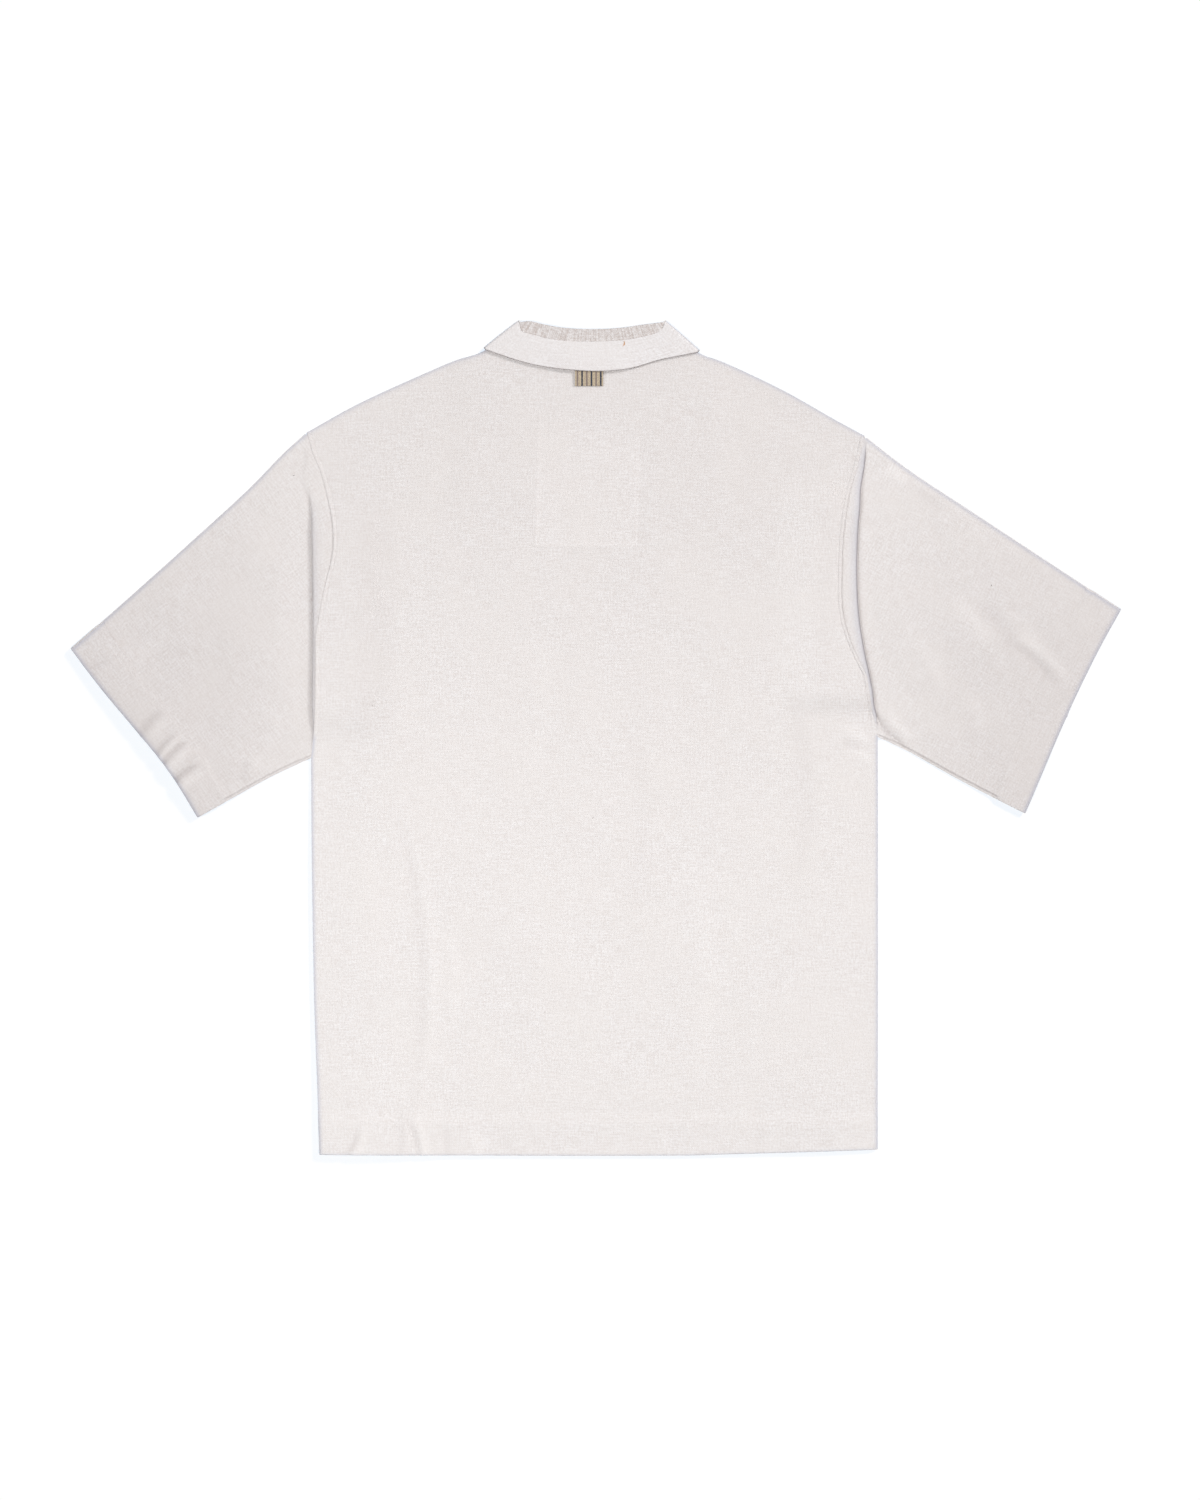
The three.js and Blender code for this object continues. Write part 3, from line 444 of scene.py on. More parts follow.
def cloth(name, grid, weave, material, thickness=CLOTH):
    """A sheet of cloth on a grid of centre points, with the weave's coordinates, its painted light and
    shade, and its painted bluish shade.
    """
    rows, columns = grid.shape[:2]
    bpy.ops.object.select_all(action="DESELECT")
    bpy.ops.mesh.primitive_grid_add(x_subdivisions=columns - 1, y_subdivisions=rows - 1, size=1,
                                    calc_uvs=True)
    piece = bpy.context.object
    piece.name = piece.data.name = name
    places = grid.reshape(-1, 3) + (0, CENTRING, 0)
    piece.data.vertices.foreach_set("co", (places * MM).ravel())
    corner = np.empty(len(piece.data.loops), int)
    piece.data.loops.foreach_get("vertex_index", corner)
    layer = piece.data.uv_layers[0]
    layer.name = "weave"
    layer.data.foreach_set("uv", (weave[..., :2].reshape(-1, 2)[corner] * MM).ravel())
    # Attributes: tone holds the painted light and shade, the other holds the share of painted bluish shade
    for channel, label in ((2, "tone"), (3, "painted_rim_shade")):
        values = piece.data.attributes.new(label, "FLOAT", "POINT")
        values.data.foreach_set("value", weave[..., channel].ravel())
    piece.data.update()
    edit(piece, (bpy.ops.mesh.remove_doubles, {"threshold": MERGED}),
         (bpy.ops.mesh.normals_make_consistent, {"inside": False}))
    applied(piece, "SOLIDIFY", thickness=thickness * MM, offset=0, use_even_offset=False)
    settle(piece)
    bpy.ops.object.shade_smooth_by_angle(angle=SMOOTH_ANGLE)
    piece.data.materials.append(material)
    return piece


def surface_height(piece, x, y):
    """Height of the top of a finished piece at a place, in millimetres."""
    start = Vector((x * MM, (y + CENTRING) * MM, ABOVE))
    hit, place, _, _ = piece.ray_cast(start, Vector((0, 0, -1)))
    return place.z / MM if hit else None


# Finishes

ADD_PRODUCT = {"operation": "MULTIPLY_ADD"}
PRODUCT = {"operation": "MULTIPLY"}
SCALED = {"operation": "SCALE"}
VALUES = {"data_type": "FLOAT"}
COLORS = {"data_type": "RGBA"}
COLOR_OUT = 2  # output of a Mix node that mixes colours


def linear(code):
    """An sRGB hex colour as linear red, green, blue and alpha."""
    parts = [int(code[i:i + 2], 16) / 255 for i in (1, 3, 5)]
    return (*[c / 12.92 if c <= 0.04045 else ((c + 0.055) / 1.055) ** 2.4 for c in parts], 1)


def add_node(material, kind, settings, inputs, output=0):
    """Adds one node with its settings, sets or links its inputs, and returns one of its outputs."""
    tree = material.node_tree
    made = tree.nodes.new(f"ShaderNode{kind}")
    for name, value in settings.items():
        setattr(made, name, value)
    for name, value in (inputs if isinstance(inputs, dict) else dict(enumerate(inputs))).items():
        if isinstance(value, bpy.types.NodeSocket):
            tree.links.new(value, made.inputs[name])
        else:
            made.inputs[name].default_value = value
    return made.outputs[output] if made.outputs else None


def new_material(name):
    material = bpy.data.materials.new(name)
    material.use_nodes = True
    material.node_tree.nodes.clear()
    return material


def finished(material, color, roughness, height=None, relief=0.0, sheen=0.0, specular=0.3):
    """Closes a material with its shader, where relief is the depth of the bump in millimetres."""
    inputs = {"Base Color": color, "Roughness": roughness, "Specular IOR Level": specular,
              "Sheen Weight": sheen, "Sheen Roughness": 0.6}
    if height is not None:
        bump = {"Height": height, "Strength": 1.0, "Distance": relief * MM}
        inputs["Normal"] = add_node(material, "Bump", {}, bump)
    shader = add_node(material, "BsdfPrincipled", {}, inputs)
    add_node(material, "OutputMaterial", {}, {"Surface": shader})
    return material


def weave_place(material, x, y):
    """The weave's coordinates, scaled so that one unit is x by y millimetres."""
    weave = add_node(material, "UVMap", {"uv_map": "weave"}, {})
    return add_node(material, "Mapping", {}, {
        "Vector": weave, "Scale": (1 / (x * MM), 1 / (y * MM), 1)})


def uneven_yarn(material, x, y, detail=2.0):
    """An uneven pattern with spots of about x by y millimetres."""
    return add_node(material, "TexNoise", {"noise_dimensions": "2D"}, {
        "Vector": weave_place(material, x, y), "Scale": 1.0, "Detail": detail})


def plain_weave(material, thread):
    """Height of a plain weave: each thread passes over one and under the next."""
    place = weave_place(material, thread / math.pi, thread / math.pi)
    apart = add_node(material, "SeparateXYZ", {}, [place]).node.outputs
    waves = [add_node(material, "Math", {"operation": "SINE"}, [apart[axis]]) for axis in ("X", "Y")]
    both = add_node(material, "Math", PRODUCT, waves)
    return add_node(material, "MapRange", {}, (both, -1, 1, 0, 1))


# Colours, and widths and lengths of thread, slubs and flecks, some with their detail as a third number.
# The plain weave is nearly twice as coarse as real thread, so that it shows in a close view.
# The rim colour is the colour of the painted bluish shade along edges and folds.
SHIRT = {
    "dark": "#d2cac6", "light": "#dfdad8", "warm": "#dad3cf", "painted_rim_shade": "#bab9c2", "thread": 0.85,
    "warp": (1.3, 13), "weft": (16, 1.4), "grain": (2.0, 1.8, 3.0), "cloud": (60, 80, 3.0),
}
STAND = {"dark": "#b9ada7", "light": "#dbd6d4", "thread": 1.5, "rib": (2.2, 30), "fleck": (5, 1.6, 3.0)}
STRIPES = {
    "count": 6, "width": 0.06, "ground": "#b5a48c", "colors": ("#85766f", "#3a3c46"), "thread": 0.7,
    "rib": (1.2, 0.8),
}
FACING_SOFT = {"edge": 0.7, "top": 20, "turning": 4, "light": 0.022, "relief": 0.25}
TURNED_IN = 0.6  # how much more the facing shows where its edge is turned in
TONE_POWERS = (0.95, 1.03, 1.03)  # under the painted shade, red fades a little less than green and blue


def painted_light_colour(material, color):
    """The colour with its painted bluish shade and the painted light and shade of the tone attribute, a
    little warmer where it is darker.
    """
    tone, painted_rim_shade = (add_node(material, "Attribute", {"attribute_name": name}, {}, "Fac")
                 for name in ("tone", "painted_rim_shade"))
    color = add_node(material, "Mix", COLORS, {0: painted_rim_shade, 6: color, 7: linear(SHIRT["painted_rim_shade"])}, COLOR_OUT)
    parts = [add_node(material, "Math", {"operation": "POWER"}, (tone, power)) for power in TONE_POWERS]
    tint = add_node(material, "CombineXYZ", {}, parts)
    return add_node(material, "VectorMath", PRODUCT, (color, tint))


def facing_below(material, inset):
    """1 over the neck facing under the cloth, less an inset from its edges, and 0 beside it."""
    place = add_node(material, "TexCoord", {}, {}, "Object")
    apart = add_node(material, "SeparateXYZ", {}, [place]).node.outputs
    lean = FACING["lean"] / (FACING["top"] - FACING["bottom"])
    upright = add_node(material, "Math", ADD_PRODUCT, (apart["Y"], lean, apart["X"]))
    shift = lean * (FACING["top"] + CENTRING)
    soft = FACING_SOFT["edge"]
    sides = table(
        "value at width",
        (upright, FACING["left"] + shift + inset, soft),
        (upright, FACING["right"] + shift - inset, -soft),
        (apart["Y"], FACING["bottom"] + CENTRING + inset, soft),
        (apart["Y"], FACING["top"] - FACING_SOFT["top"], -FACING_SOFT["top"]),
    )
    share = 1
    for side in sides:
        start, end = (side["at"] - side["width"]) * MM, (side["at"] + side["width"]) * MM
        inside = add_node(material, "MapRange", {}, (side["value"], start, end, 0, 1))
        share = add_node(material, "Math", PRODUCT, (share, inside))
    return share


def washed_linen_cotton(name="washed_linen_cotton", over_facing=False):
    """Washed plain weave of linen and cotton: matte, off-white, with slubs along both threads."""
    material = new_material(name)
    weave = plain_weave(material, SHIRT["thread"])
    warp, weft, grain, cloud = (uneven_yarn(material, *SHIRT[yarn])
                                for yarn in ("warp", "weft", "grain", "cloud"))
    slub = add_node(material, "Mix", VALUES, {0: 0.55, 2: warp, 3: weft})
    tone = add_node(material, "Mix", VALUES, {0: 0.45, 2: slub, 3: grain})
    light = add_node(material, "MapRange", {}, (tone, 0.38, 0.62, 0, 1))
    base = {0: light, 6: linear(SHIRT["dark"]), 7: linear(SHIRT["light"])}
    warm = {0: add_node(material, "MapRange", {}, (cloud, 0.35, 0.7, 0, 0.5)),
            6: add_node(material, "Mix", COLORS, base, COLOR_OUT), 7: linear(SHIRT["warm"])}
    color = painted_light_colour(material, add_node(material, "Mix", COLORS, warm, COLOR_OUT))
    height = add_node(material, "Math", ADD_PRODUCT, (weave, 0.5, tone))
    if over_facing:
        whole, inner = facing_below(material, 0), facing_below(material, FACING_SOFT["turning"])
        less = add_node(material, "Math", PRODUCT, (inner, -TURNED_IN))
        layers = add_node(material, "Math", ADD_PRODUCT, (whole, 1 + TURNED_IN, less))
        paler = add_node(material, "MapRange", {}, (layers, 0, 2, 1, 1 + 2 * FACING_SOFT["light"]))
        color = add_node(material, "VectorMath", SCALED, {0: color, "Scale": paler})
        height = add_node(material, "Math", ADD_PRODUCT, (layers, FACING_SOFT["relief"], height))
    return finished(material, color, 0.92, height, relief=0.35, sheen=0.15)


def coarse_linen():
    """Natural linen of coarse uneven yarn: heathered grey and brown, ribbed across the band."""
    material = new_material("coarse_natural_linen")
    weave = plain_weave(material, STAND["thread"])
    rib, fleck = (uneven_yarn(material, *STAND[yarn]) for yarn in ("rib", "fleck"))
    tone = add_node(material, "Mix", VALUES, {0: 0.5, 2: rib, 3: fleck})
    light = add_node(material, "MapRange", {}, (tone, 0.33, 0.67, 0, 1))
    color = add_node(material, "Mix", COLORS, {
        0: light, 6: linear(STAND["dark"]), 7: linear(STAND["light"])}, COLOR_OUT)
    height = add_node(material, "Math", ADD_PRODUCT, (weave, 0.5, tone))
    return finished(material, painted_light_colour(material, color), 0.95, height, relief=0.6, sheen=0.1)


def striped_tape():
    """Woven cotton tape: fine ribs across, and lengthwise stripes of tan, taupe and navy yarn."""
    material = new_material("striped_cotton_tape")
    width = TAB["right"] - TAB["left"]
    across = add_node(material, "SeparateXYZ", {}, [weave_place(material, width, width)], "X")
    stripes = add_node(material, "ValToRGB", {}, [across])
    stripes.node.color_ramp.interpolation = "CONSTANT"
    stops = stripes.node.color_ramp.elements
    stops[0].color = linear(STRIPES["ground"])
    for i in range(STRIPES["count"]):
        middle = (i + 0.5) / STRIPES["count"]
        start = stops.new(middle - STRIPES["width"] / 2)
        start.color = linear(STRIPES["colors"][i % 2])
        stops.new(middle + STRIPES["width"] / 2).color = linear(STRIPES["ground"])
    stops[-1].color = linear(STRIPES["ground"])
    weave = plain_weave(material, STRIPES["thread"])
    ribs = uneven_yarn(material, *STRIPES["rib"])
    shade = add_node(material, "MapRange", {}, (ribs, 0.3, 0.7, 0.8, 1.2))
    color = add_node(material, "VectorMath", SCALED, {0: stripes, "Scale": shade})
    height = add_node(material, "Math", {"operation": "ADD"}, (weave, ribs))
    return finished(material, painted_light_colour(material, color), 0.85, height, relief=0.3, sheen=0.1)


def sewing_thread():
    """Spun polyester sewing thread: a little brighter and glossier than the cloth."""
    material = new_material("spun_polyester_thread")
    return finished(material, linear("#dedad7"), 0.7, sheen=0.2, specular=0.4)


def fibre(name, code):
    """A loose plant fibre caught in the weave."""
    return finished(new_material(name), linear(code), 0.8)


SWEEP = {"paper": "#c4a46f", "glow": "#a5c8ea", "near": 0.95, "far": 1.5}  # near and far in metres


def white_sweep():
    """Seamless matte white paper, lit from behind, so that shadows on it stay pale and a little blue.

    Beyond the picture it glows plain white, so that it looks the same from every side."""
    material = new_material("white_paper_sweep")
    place = add_node(material, "TexCoord", {}, {}, "Object")
    away = add_node(material, "VectorMath", {"operation": "LENGTH"}, [place], "Value")
    far = add_node(material, "MapRange", {}, (away, SWEEP["near"], SWEEP["far"], 0, 1))
    paper = {0: far, 6: linear(SWEEP["paper"]), 7: linear("#000000")}
    glow = {0: far, 6: linear(SWEEP["glow"]), 7: linear("#ffffff")}
    shader = add_node(material, "BsdfPrincipled", {}, {
        "Base Color": add_node(material, "Mix", COLORS, paper, COLOR_OUT), "Roughness": 0.95,
        "Specular IOR Level": 0.1, "Emission Strength": 1.0,
        "Emission Color": add_node(material, "Mix", COLORS, glow, COLOR_OUT)})
    add_node(material, "OutputMaterial", {}, {"Surface": shader})
    return material


LINEN = washed_linen_cotton()
LINEN_OVER_FACING = washed_linen_cotton("washed_linen_cotton_over_facing", over_facing=True)
STAND_LINEN = coarse_linen()
TAPE = striped_tape()
THREAD = sewing_thread()


# Camera, floor and light

PHOTO = {"width": 1200, "height": 1500, "pixel": 0.95, "middle": (3.8, -12.0)}
CAMERA = {"height": 3.2, "sensor": 36, "reach": 20}  # metres, and millimetres for the sensor
FLOOR = {"size": 8, "z": -0.0002}  # metres


def add_camera():
    x, y = PHOTO["middle"]
    bpy.ops.object.camera_add(location=(x * MM, y * MM, CAMERA["height"]), rotation=(0, 0, 0))
    camera = bpy.context.object
    camera.name = "camera"
    camera.data.sensor_width = CAMERA["sensor"]
    tall = PHOTO["height"] * PHOTO["pixel"] * MM
    camera.data.lens = camera.data.sensor_width * CAMERA["height"] / tall
    camera.data.clip_end = CAMERA["reach"]
    bpy.context.scene.camera = camera


def add_floor():
    bpy.ops.object.select_all(action="DESELECT")
    bpy.ops.mesh.primitive_plane_add(size=FLOOR["size"], location=(0, 0, FLOOR["z"]))
    floor = bpy.context.object
    floor.name = "floor"
    floor.data.materials.append(white_sweep())


LIGHTS = table(  # metres and watts
    "name x y z size power",
    ("overhead_softbox", -0.25, -0.45, 2.7, 1.5, 43),
    ("left_softbox", -3.2, -0.4, 2.7, 1.2, 27),
    ("right_softbox", 2.7, 2.2, 2.3, 1.0, 92),
)
FILL = {"color": (0.9, 0.95, 1, 1), "strength": 0.4}  # even light from all round, a little blue


def add_lights():
    for light in LIGHTS:
        place = Vector((light["x"], light["y"], light["z"]))
        bpy.ops.object.light_add(type="AREA", location=place)
        lamp = bpy.context.object
        lamp.name = light["name"]
        lamp.rotation_euler = (-place).to_track_quat("-Z", "Y").to_euler()
        lamp.data.size = light["size"]
        lamp.data.energy = light["power"]
        lamp.visible_camera = False
    world = bpy.data.worlds.new("soft_studio")
    bpy.context.scene.world = world
    world.use_nodes = True
    background = world.node_tree.nodes["Background"]
    background.inputs["Color"].default_value = FILL["color"]
    background.inputs["Strength"].default_value = FILL["strength"]
    bpy.context.scene.view_settings.view_transform = "Standard"


add_camera()
add_floor()
add_lights()


# Heights of the layers

def level(number):
    return CLOTH / 2 + number * LAYER


def tuck_at(tuck, y):
    """Turn, in radians, and depth of a tuck at a height y."""
    grown = lambda top, full, full_low, low: smooth(top, full, y) * smooth(low, full_low, y)
    return math.pi * grown(*tuck["turn"]), tuck["depth"] * grown(*tuck["deep"])


def tuck_lift(tuck, y):
    turn, depth = tuck_at(tuck, y)
    roll = FOLD_ROLL["height"] * turn / math.pi
    return 2 * TUCK_RADIUS * (1 - np.cos(turn)) + depth * np.sin(turn) + roll


def neck_lift(x, y):
    half, fade = NECK_LIFT["half"], NECK_LIFT["fade"]
    aside = np.abs(x - SHOULDER_LINE["middle"])
    return LAYER * smooth(NECK_LIFT["low"], NECK_LIFT["high"], y) * smooth(half + fade, half, aside)


def loft_share(x, y):
    from_side = np.minimum(x - PLAIN_BODY["left"], PLAIN_BODY["right"] - x)
    aside = np.abs(x - SHOULDER_LINE["middle"]) - SHOULDER_LINE["half"]
    from_shoulder = SHOULDER_LINE["y"] - SHOULDER_LINE["slope"] * np.maximum(aside, 0) - y
    from_neck = np.hypot(x - SHOULDER_LINE["middle"], y - NECK_CIRCLE["y"]) - NECK_CIRCLE["radius"]
    from_top = np.minimum(from_shoulder, from_neck)
    low = smooth(0, BODY_LOFT["hem"], y - PLAIN_BODY["hem"])
    return smooth(0, BODY_LOFT["side"], from_side) * smooth(*BODY_LOFT["top"], from_top) * low


def side_lift(x, y):
    """How far the back is lifted beside its armholes by the folds of the sleeves."""
    return sum(tuck_lift(tuck, y) * smooth(*tuck["fade"], x) for tuck in TUCK.values())


def back_plain_height(x, y):
    loft = BODY_LOFT["height"] * loft_share(x, y)
    return level(1) + loft + neck_lift(x, y) + side_lift(x, y) + stand_off(x, y)


def front_plain_height(x, y):
    return level(0) + neck_lift(x, y) + stand_off(x, y)


HEM_BLEND = 5  # distance over which the hem's extra height fades above its stitching


def hem_rise(from_fold, depth, number):
    """How much higher layer 0 or 1 lies over what is turned in at its hem."""
    rise = TURNING * smooth(depth + HEM_BLEND, depth - 1, from_fold)
    return (0.5 + number) * rise


def with_turned_hem(grid, weave, depth, side):
    """Adds rows that fold round at the first row and lie inside it, as deep as the hem."""
    turn = np.linspace(1, 0, 4, endpoint=False)[1:]
    first = grid[0]
    ahead = first - grid[1]
    ahead[:, 2] = 0
    ahead /= np.maximum(np.linalg.norm(ahead, axis=1), 1e-9)[:, None]
    run = from_edge(grid, 0)
    count = int(np.searchsorted(run[:, run.shape[1] // 2], depth))
    inner = grid[:count].copy()
    inner[..., 2] += side * TURNING
    inner_weave = weave[:count].copy()
    inner_weave[..., 1] = 2 * weave[0, :, 1] - weave[:count, :, 1]
    bends, bend_weave = [], []
    for share in turn:
        angle = math.pi * share
        bend = first + ahead * (TURNING / 2 * math.sin(angle))
        bend[:, 2] = first[:, 2] + side * TURNING / 2 * (1 - math.cos(angle))
        bends.append(bend)
        bend_weave.append(weave[0])
    whole = np.concatenate([inner[::-1], np.array(bends), grid])
    return whole, np.concatenate([inner_weave[::-1], np.array(bend_weave), weave])


# Body

def side_edge(side, armhole):
    return chain(edged(SIDE[side], STEPS["side"]), armhole)


def back_armhole(side):
    return chain(edged(UNDER[side], STEPS["under"]), spaced(BACK_ARMHOLE[side], STEPS["armhole"]))


def front_armhole(side):
    return spaced(FRONT_ARMHOLE[side], STEPS["front_armhole"])


def hem_edge(middle):
    return chain(edged(HEM["left"], STEPS["left_shoulder"]), spaced(HEM["middle"], middle),
                 edged(HEM["right"], STEPS["right_shoulder"], start=False))


def shoulder_edge(side):
    return edged(SHOULDER[side], STEPS[f"{side}_shoulder"])


def body_grid(armholes, neck):
    top = chain(shoulder_edge("left"), neck, shoulder_edge("right")[::-1])
    return patch(hem_edge(len(neck) - 1), top, side_edge("left", armholes["left"]),
                 side_edge("right", armholes["right"]))


def rounded_edges(plan, heights, seam_height):
    """Rolls the sides below the underarm and the shoulders down to their seams."""
    x, y = plan[..., 0], plan[..., 1]
    beside = np.minimum(from_edge(plan, 1), from_edge(plan, 1, backwards=True))
    below_top = from_edge(plan, 0, backwards=True)
    at_side = smooth(*SIDE_BLEND, y) * (1 - rounded(beside, SIDE_ROLL))
    aside = np.abs(x - SHOULDER_LINE["middle"])
    at_shoulder = smooth(*SHOULDER_LINE["blend"], aside)
    at_top = at_shoulder * (1 - rounded(below_top, SIDE_ROLL))
    seam_height = seam_height + stand_off(x, y)
    return heights + (seam_height - heights) * np.maximum(at_side, at_top)


# Painted light and shade, as factors on the cloth's colour: the body darker towards the top and a little
# darker to the right, the sleeves darker than the body, in their middle and towards the cuffs, painted
# shade along the armhole edge, the stitching, the under seam and the leaf's edge, painted shade in crease
# troughs with painted highlight on their ridges, painted light and shade on the slopes beside the tucks,
# and the leaf and stand at their own levels
PAINTED_LIGHT = {
    "edge": 0.07, "edge_width": 0.7, "stitch": 0.04, "stitch_width": 0.7, "top": 0.935, "bottom": 1.027,
    "sleeve": 0.955, "sleeve_middle": 0.02, "cuff": 0.105, "leaf": 1.015, "stand": 0.97, "seam": 0.2,
    "leaf_edge": 0.7, "crease": 0.09, "aside": 0.018, "slope": 0.33, "range": (360, -200),
}
RIM_SHADE = {"share": 0.75, "width": 2.4, "hem": 2, "leaf": 0.1}  # painted bluish shade along the outline, where the cloth's edge rounds down
FAR = 99  # a distance at which an edge has no painted rim shade
# Painted shade beside each tuck's fold: a dark line on the sleeve's side and on the tuck's, and the share
# of painted bluish shade on the roll over it
FOLD_SHADE = {
    "left": {"sleeve": 0.04, "sleeve_width": 1.6, "line": 0.24, "line_width": 1.1, "roll": 0.2,
             "roll_width": 6},
    "right": {"sleeve": 0.14, "sleeve_width": 1.3, "line": 0.52, "line_width": 1.2, "roll": 0.55,
              "roll_width": 5.8},
}


def line_tone(distance, depth, width):
    """How much darker the cloth is painted along a line, as painted shade; also the depth of a groove along
    one.
    """
    return depth * np.exp(-((distance / width) ** 2))


def rim_shade_beside(*distances):
    """Painted bluish shade beside the nearest of some edges."""
    return line_tone(np.minimum.reduce(distances), RIM_SHADE["share"], RIM_SHADE["width"])


def back_panel():
    neck = spaced(NECKLINE["back"], STEPS["neck"])
    armholes = {side: back_armhole(side) for side in SIDE}
    plan = body_grid(armholes, neck)
    x, y = plan[..., 0], plan[..., 1]
    beside = np.minimum(from_edge(plan, 1), from_edge(plan, 1, backwards=True))
    height = back_plain_height(x, y)
    height += hem_rise(y - PLAIN_BODY["hem"], HEM_DEPTH, 1)
    height += loft_share(x, y) * uneven_lay("back", x, y)
    creases = creased(x, y, BODY_CREASES)
    height += creases
    in_armhole = smooth(*ARMHOLE_BLEND, y)
    stitch, edge = ARMHOLE["stitch"], ARMHOLE["edge"]
    strip = smooth(0, edge, beside) * smooth(stitch + ARMHOLE["groove_width"], stitch - edge, beside)
    groove = line_tone(beside - stitch, 1, ARMHOLE["groove_width"])
    height += in_armhole * (ARMHOLE["ridge"] * strip - ARMHOLE["groove"] * groove)
    height = rounded_edges(plan, height, SEAM_HEIGHT["back"])
    grid = np.dstack([plan, height])
    # Painted light and shade: darker towards the top and a little darker to the right, painted shade along
    # the armhole edge and its topstitching, painted shade in crease troughs with painted highlight on their
    # ridges, painted light and shade on the slopes beside the tucks, and painted bluish shade along the
    # outline
    tone = PAINTED_LIGHT["top"] + (PAINTED_LIGHT["bottom"] - PAINTED_LIGHT["top"]) * smooth(*PAINTED_LIGHT["range"], y)
    tone -= in_armhole * line_tone(beside, PAINTED_LIGHT["edge"], PAINTED_LIGHT["edge_width"])
    tone -= in_armhole * line_tone(beside - stitch, PAINTED_LIGHT["stitch"], PAINTED_LIGHT["stitch_width"])
    tone += PAINTED_LIGHT["crease"] * creases + PAINTED_LIGHT["slope"] * (side_lift(x + 1, y) - side_lift(x - 1, y)) / 2
    tone *= 1 - PAINTED_LIGHT["aside"] * x / PLAIN_BODY["right"]
    painted_rim_shade = rim_shade_beside(beside + FAR * in_armhole, from_edge(plan, 0) + RIM_SHADE["hem"],
                 from_edge(plan, 0, backwards=True))
    grid, weave = with_turned_hem(grid, with_painted_light(plan, tone, painted_rim_shade), HEM_DEPTH, -1)
    piece = cloth("back_panel", grid, weave, LINEN_OVER_FACING)
    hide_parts("back")
    return piece


def cut_slit(piece):
    bpy.ops.object.select_all(action="DESELECT")
    middle = ((SLIT["bottom"] + SLIT["top"]) / 2 + CENTRING) * MM
    bpy.ops.mesh.primitive_cube_add(size=1, location=(SLIT["x"] * MM, middle, 0))
    cutter = bpy.context.object
    cutter.scale = (SLIT["width"] * MM, (SLIT["top"] - SLIT["bottom"]) * MM, 0.04)
    bpy.ops.object.transform_apply(location=True, rotation=True, scale=True)
    applied(piece, "BOOLEAN", operation="DIFFERENCE", object=cutter, solver="EXACT")
    bpy.data.objects.remove(cutter)


def front_panel():
    left = spaced(NECKLINE["left"], STEPS["front_neck"])
    right = spaced(NECKLINE["right"], STEPS["front_neck"])[::-1]
    armholes = {side: front_armhole(side) for side in SIDE}
    plan = body_grid(armholes, chain(left, right))
    x, y = plan[..., 0], plan[..., 1]
    height = rounded_edges(plan, front_plain_height(x, y), SEAM_HEIGHT["front"])
    grid = np.dstack([plan, height])
    grid, weave = with_turned_hem(grid, with_painted_light(plan), HEM_DEPTH, 1)
    piece = cloth("front_panel", grid, weave, LINEN)
    cut_slit(piece)
    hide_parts("front")
    return piece


# Sleeves

UNDER_BODY = table("reach dip", (0.2, 0.45), (1.2, 1.0), (3.5, 1.0))  # the sleeve's edge, under the body


def tuck_lengths(turn, depth):
    """Lengths of cloth: before the tuck, in one turn, and up to the end of the second turn."""
    lead = TUCK_LEAD + TUCK_EDGE * (turn / math.pi) + depth
    bend = turn * TUCK_RADIUS
    return lead, bend, lead + 2 * bend + depth


def tuck_place(turn, depth, length):
    """Run along the row, and rise over its start, after a length of cloth."""
    lead, bend, whole = tuck_lengths(turn, depth)
    if length <= lead or turn < 1e-9:
        return length, 0.0
    bent = min(length - lead, bend) / TUCK_RADIUS
    between = min(max(length - lead - bend, 0), depth)
    heading = turn - min(max(length - lead - bend - depth, 0), bend) / TUCK_RADIUS
    onward = max(length - whole, 0)
    run = lead + TUCK_RADIUS * (math.sin(bent) + math.sin(turn) - math.sin(heading))
    rise = TUCK_RADIUS * (1 - math.cos(bent) + math.cos(heading) - math.cos(turn))
    roll = FOLD_ROLL["height"] * turn / math.pi * float(rounded(onward, FOLD_ROLL["width"]))
    return run + between * math.cos(turn) + onward, rise + between * math.sin(turn) + roll


def tuck_marks(turn, depth, end):
    """Lengths of cloth at the stations of one row, which keep apart and don't pass the end."""
    lead, bend, whole = tuck_lengths(turn, depth)
    one_turn = bend * np.linspace(0, 1, TURN_STEPS + 1)
    marks = np.concatenate([
        LEAD_STATIONS, np.linspace(TUCK_LEAD, lead, 4)[:-1], lead + one_turn,
        np.linspace(lead + bend, whole - bend, 5)[1:-1], whole - bend + one_turn,
        whole + (end - whole) * np.array(ROLL_SHARES),
    ])
    last = len(marks) - 1
    for i in range(1, last + 1):
        marks[i] = max(marks[i], marks[i - 1] + LEAST_STEP)
    limits = end - LEAST_STEP * np.arange(last, -1, -1)
    return np.minimum(marks, limits)


def inset_edge(line, sign):
    """An edge moved inwards by the half width of its fold."""
    return line + sign * TUCK_EDGE * leftward(line)


def row_way(side, y, upper_way, lower_way):
    """Direction of a row: along the sleeve's edges at its ends, and straight across at the tuck."""
    turn = TUCK[side]["turn"]
    high = float(smooth(turn[0], SHOULDER[side][0]["y"], y))
    low = float(smooth(turn[3], UNDER[side][0]["y"], y))
    way = high * upper_way + low * lower_way + (1 - high - low) * np.array([TUCK[side]["inward"], 0.0])
    return way / math.hypot(*way)


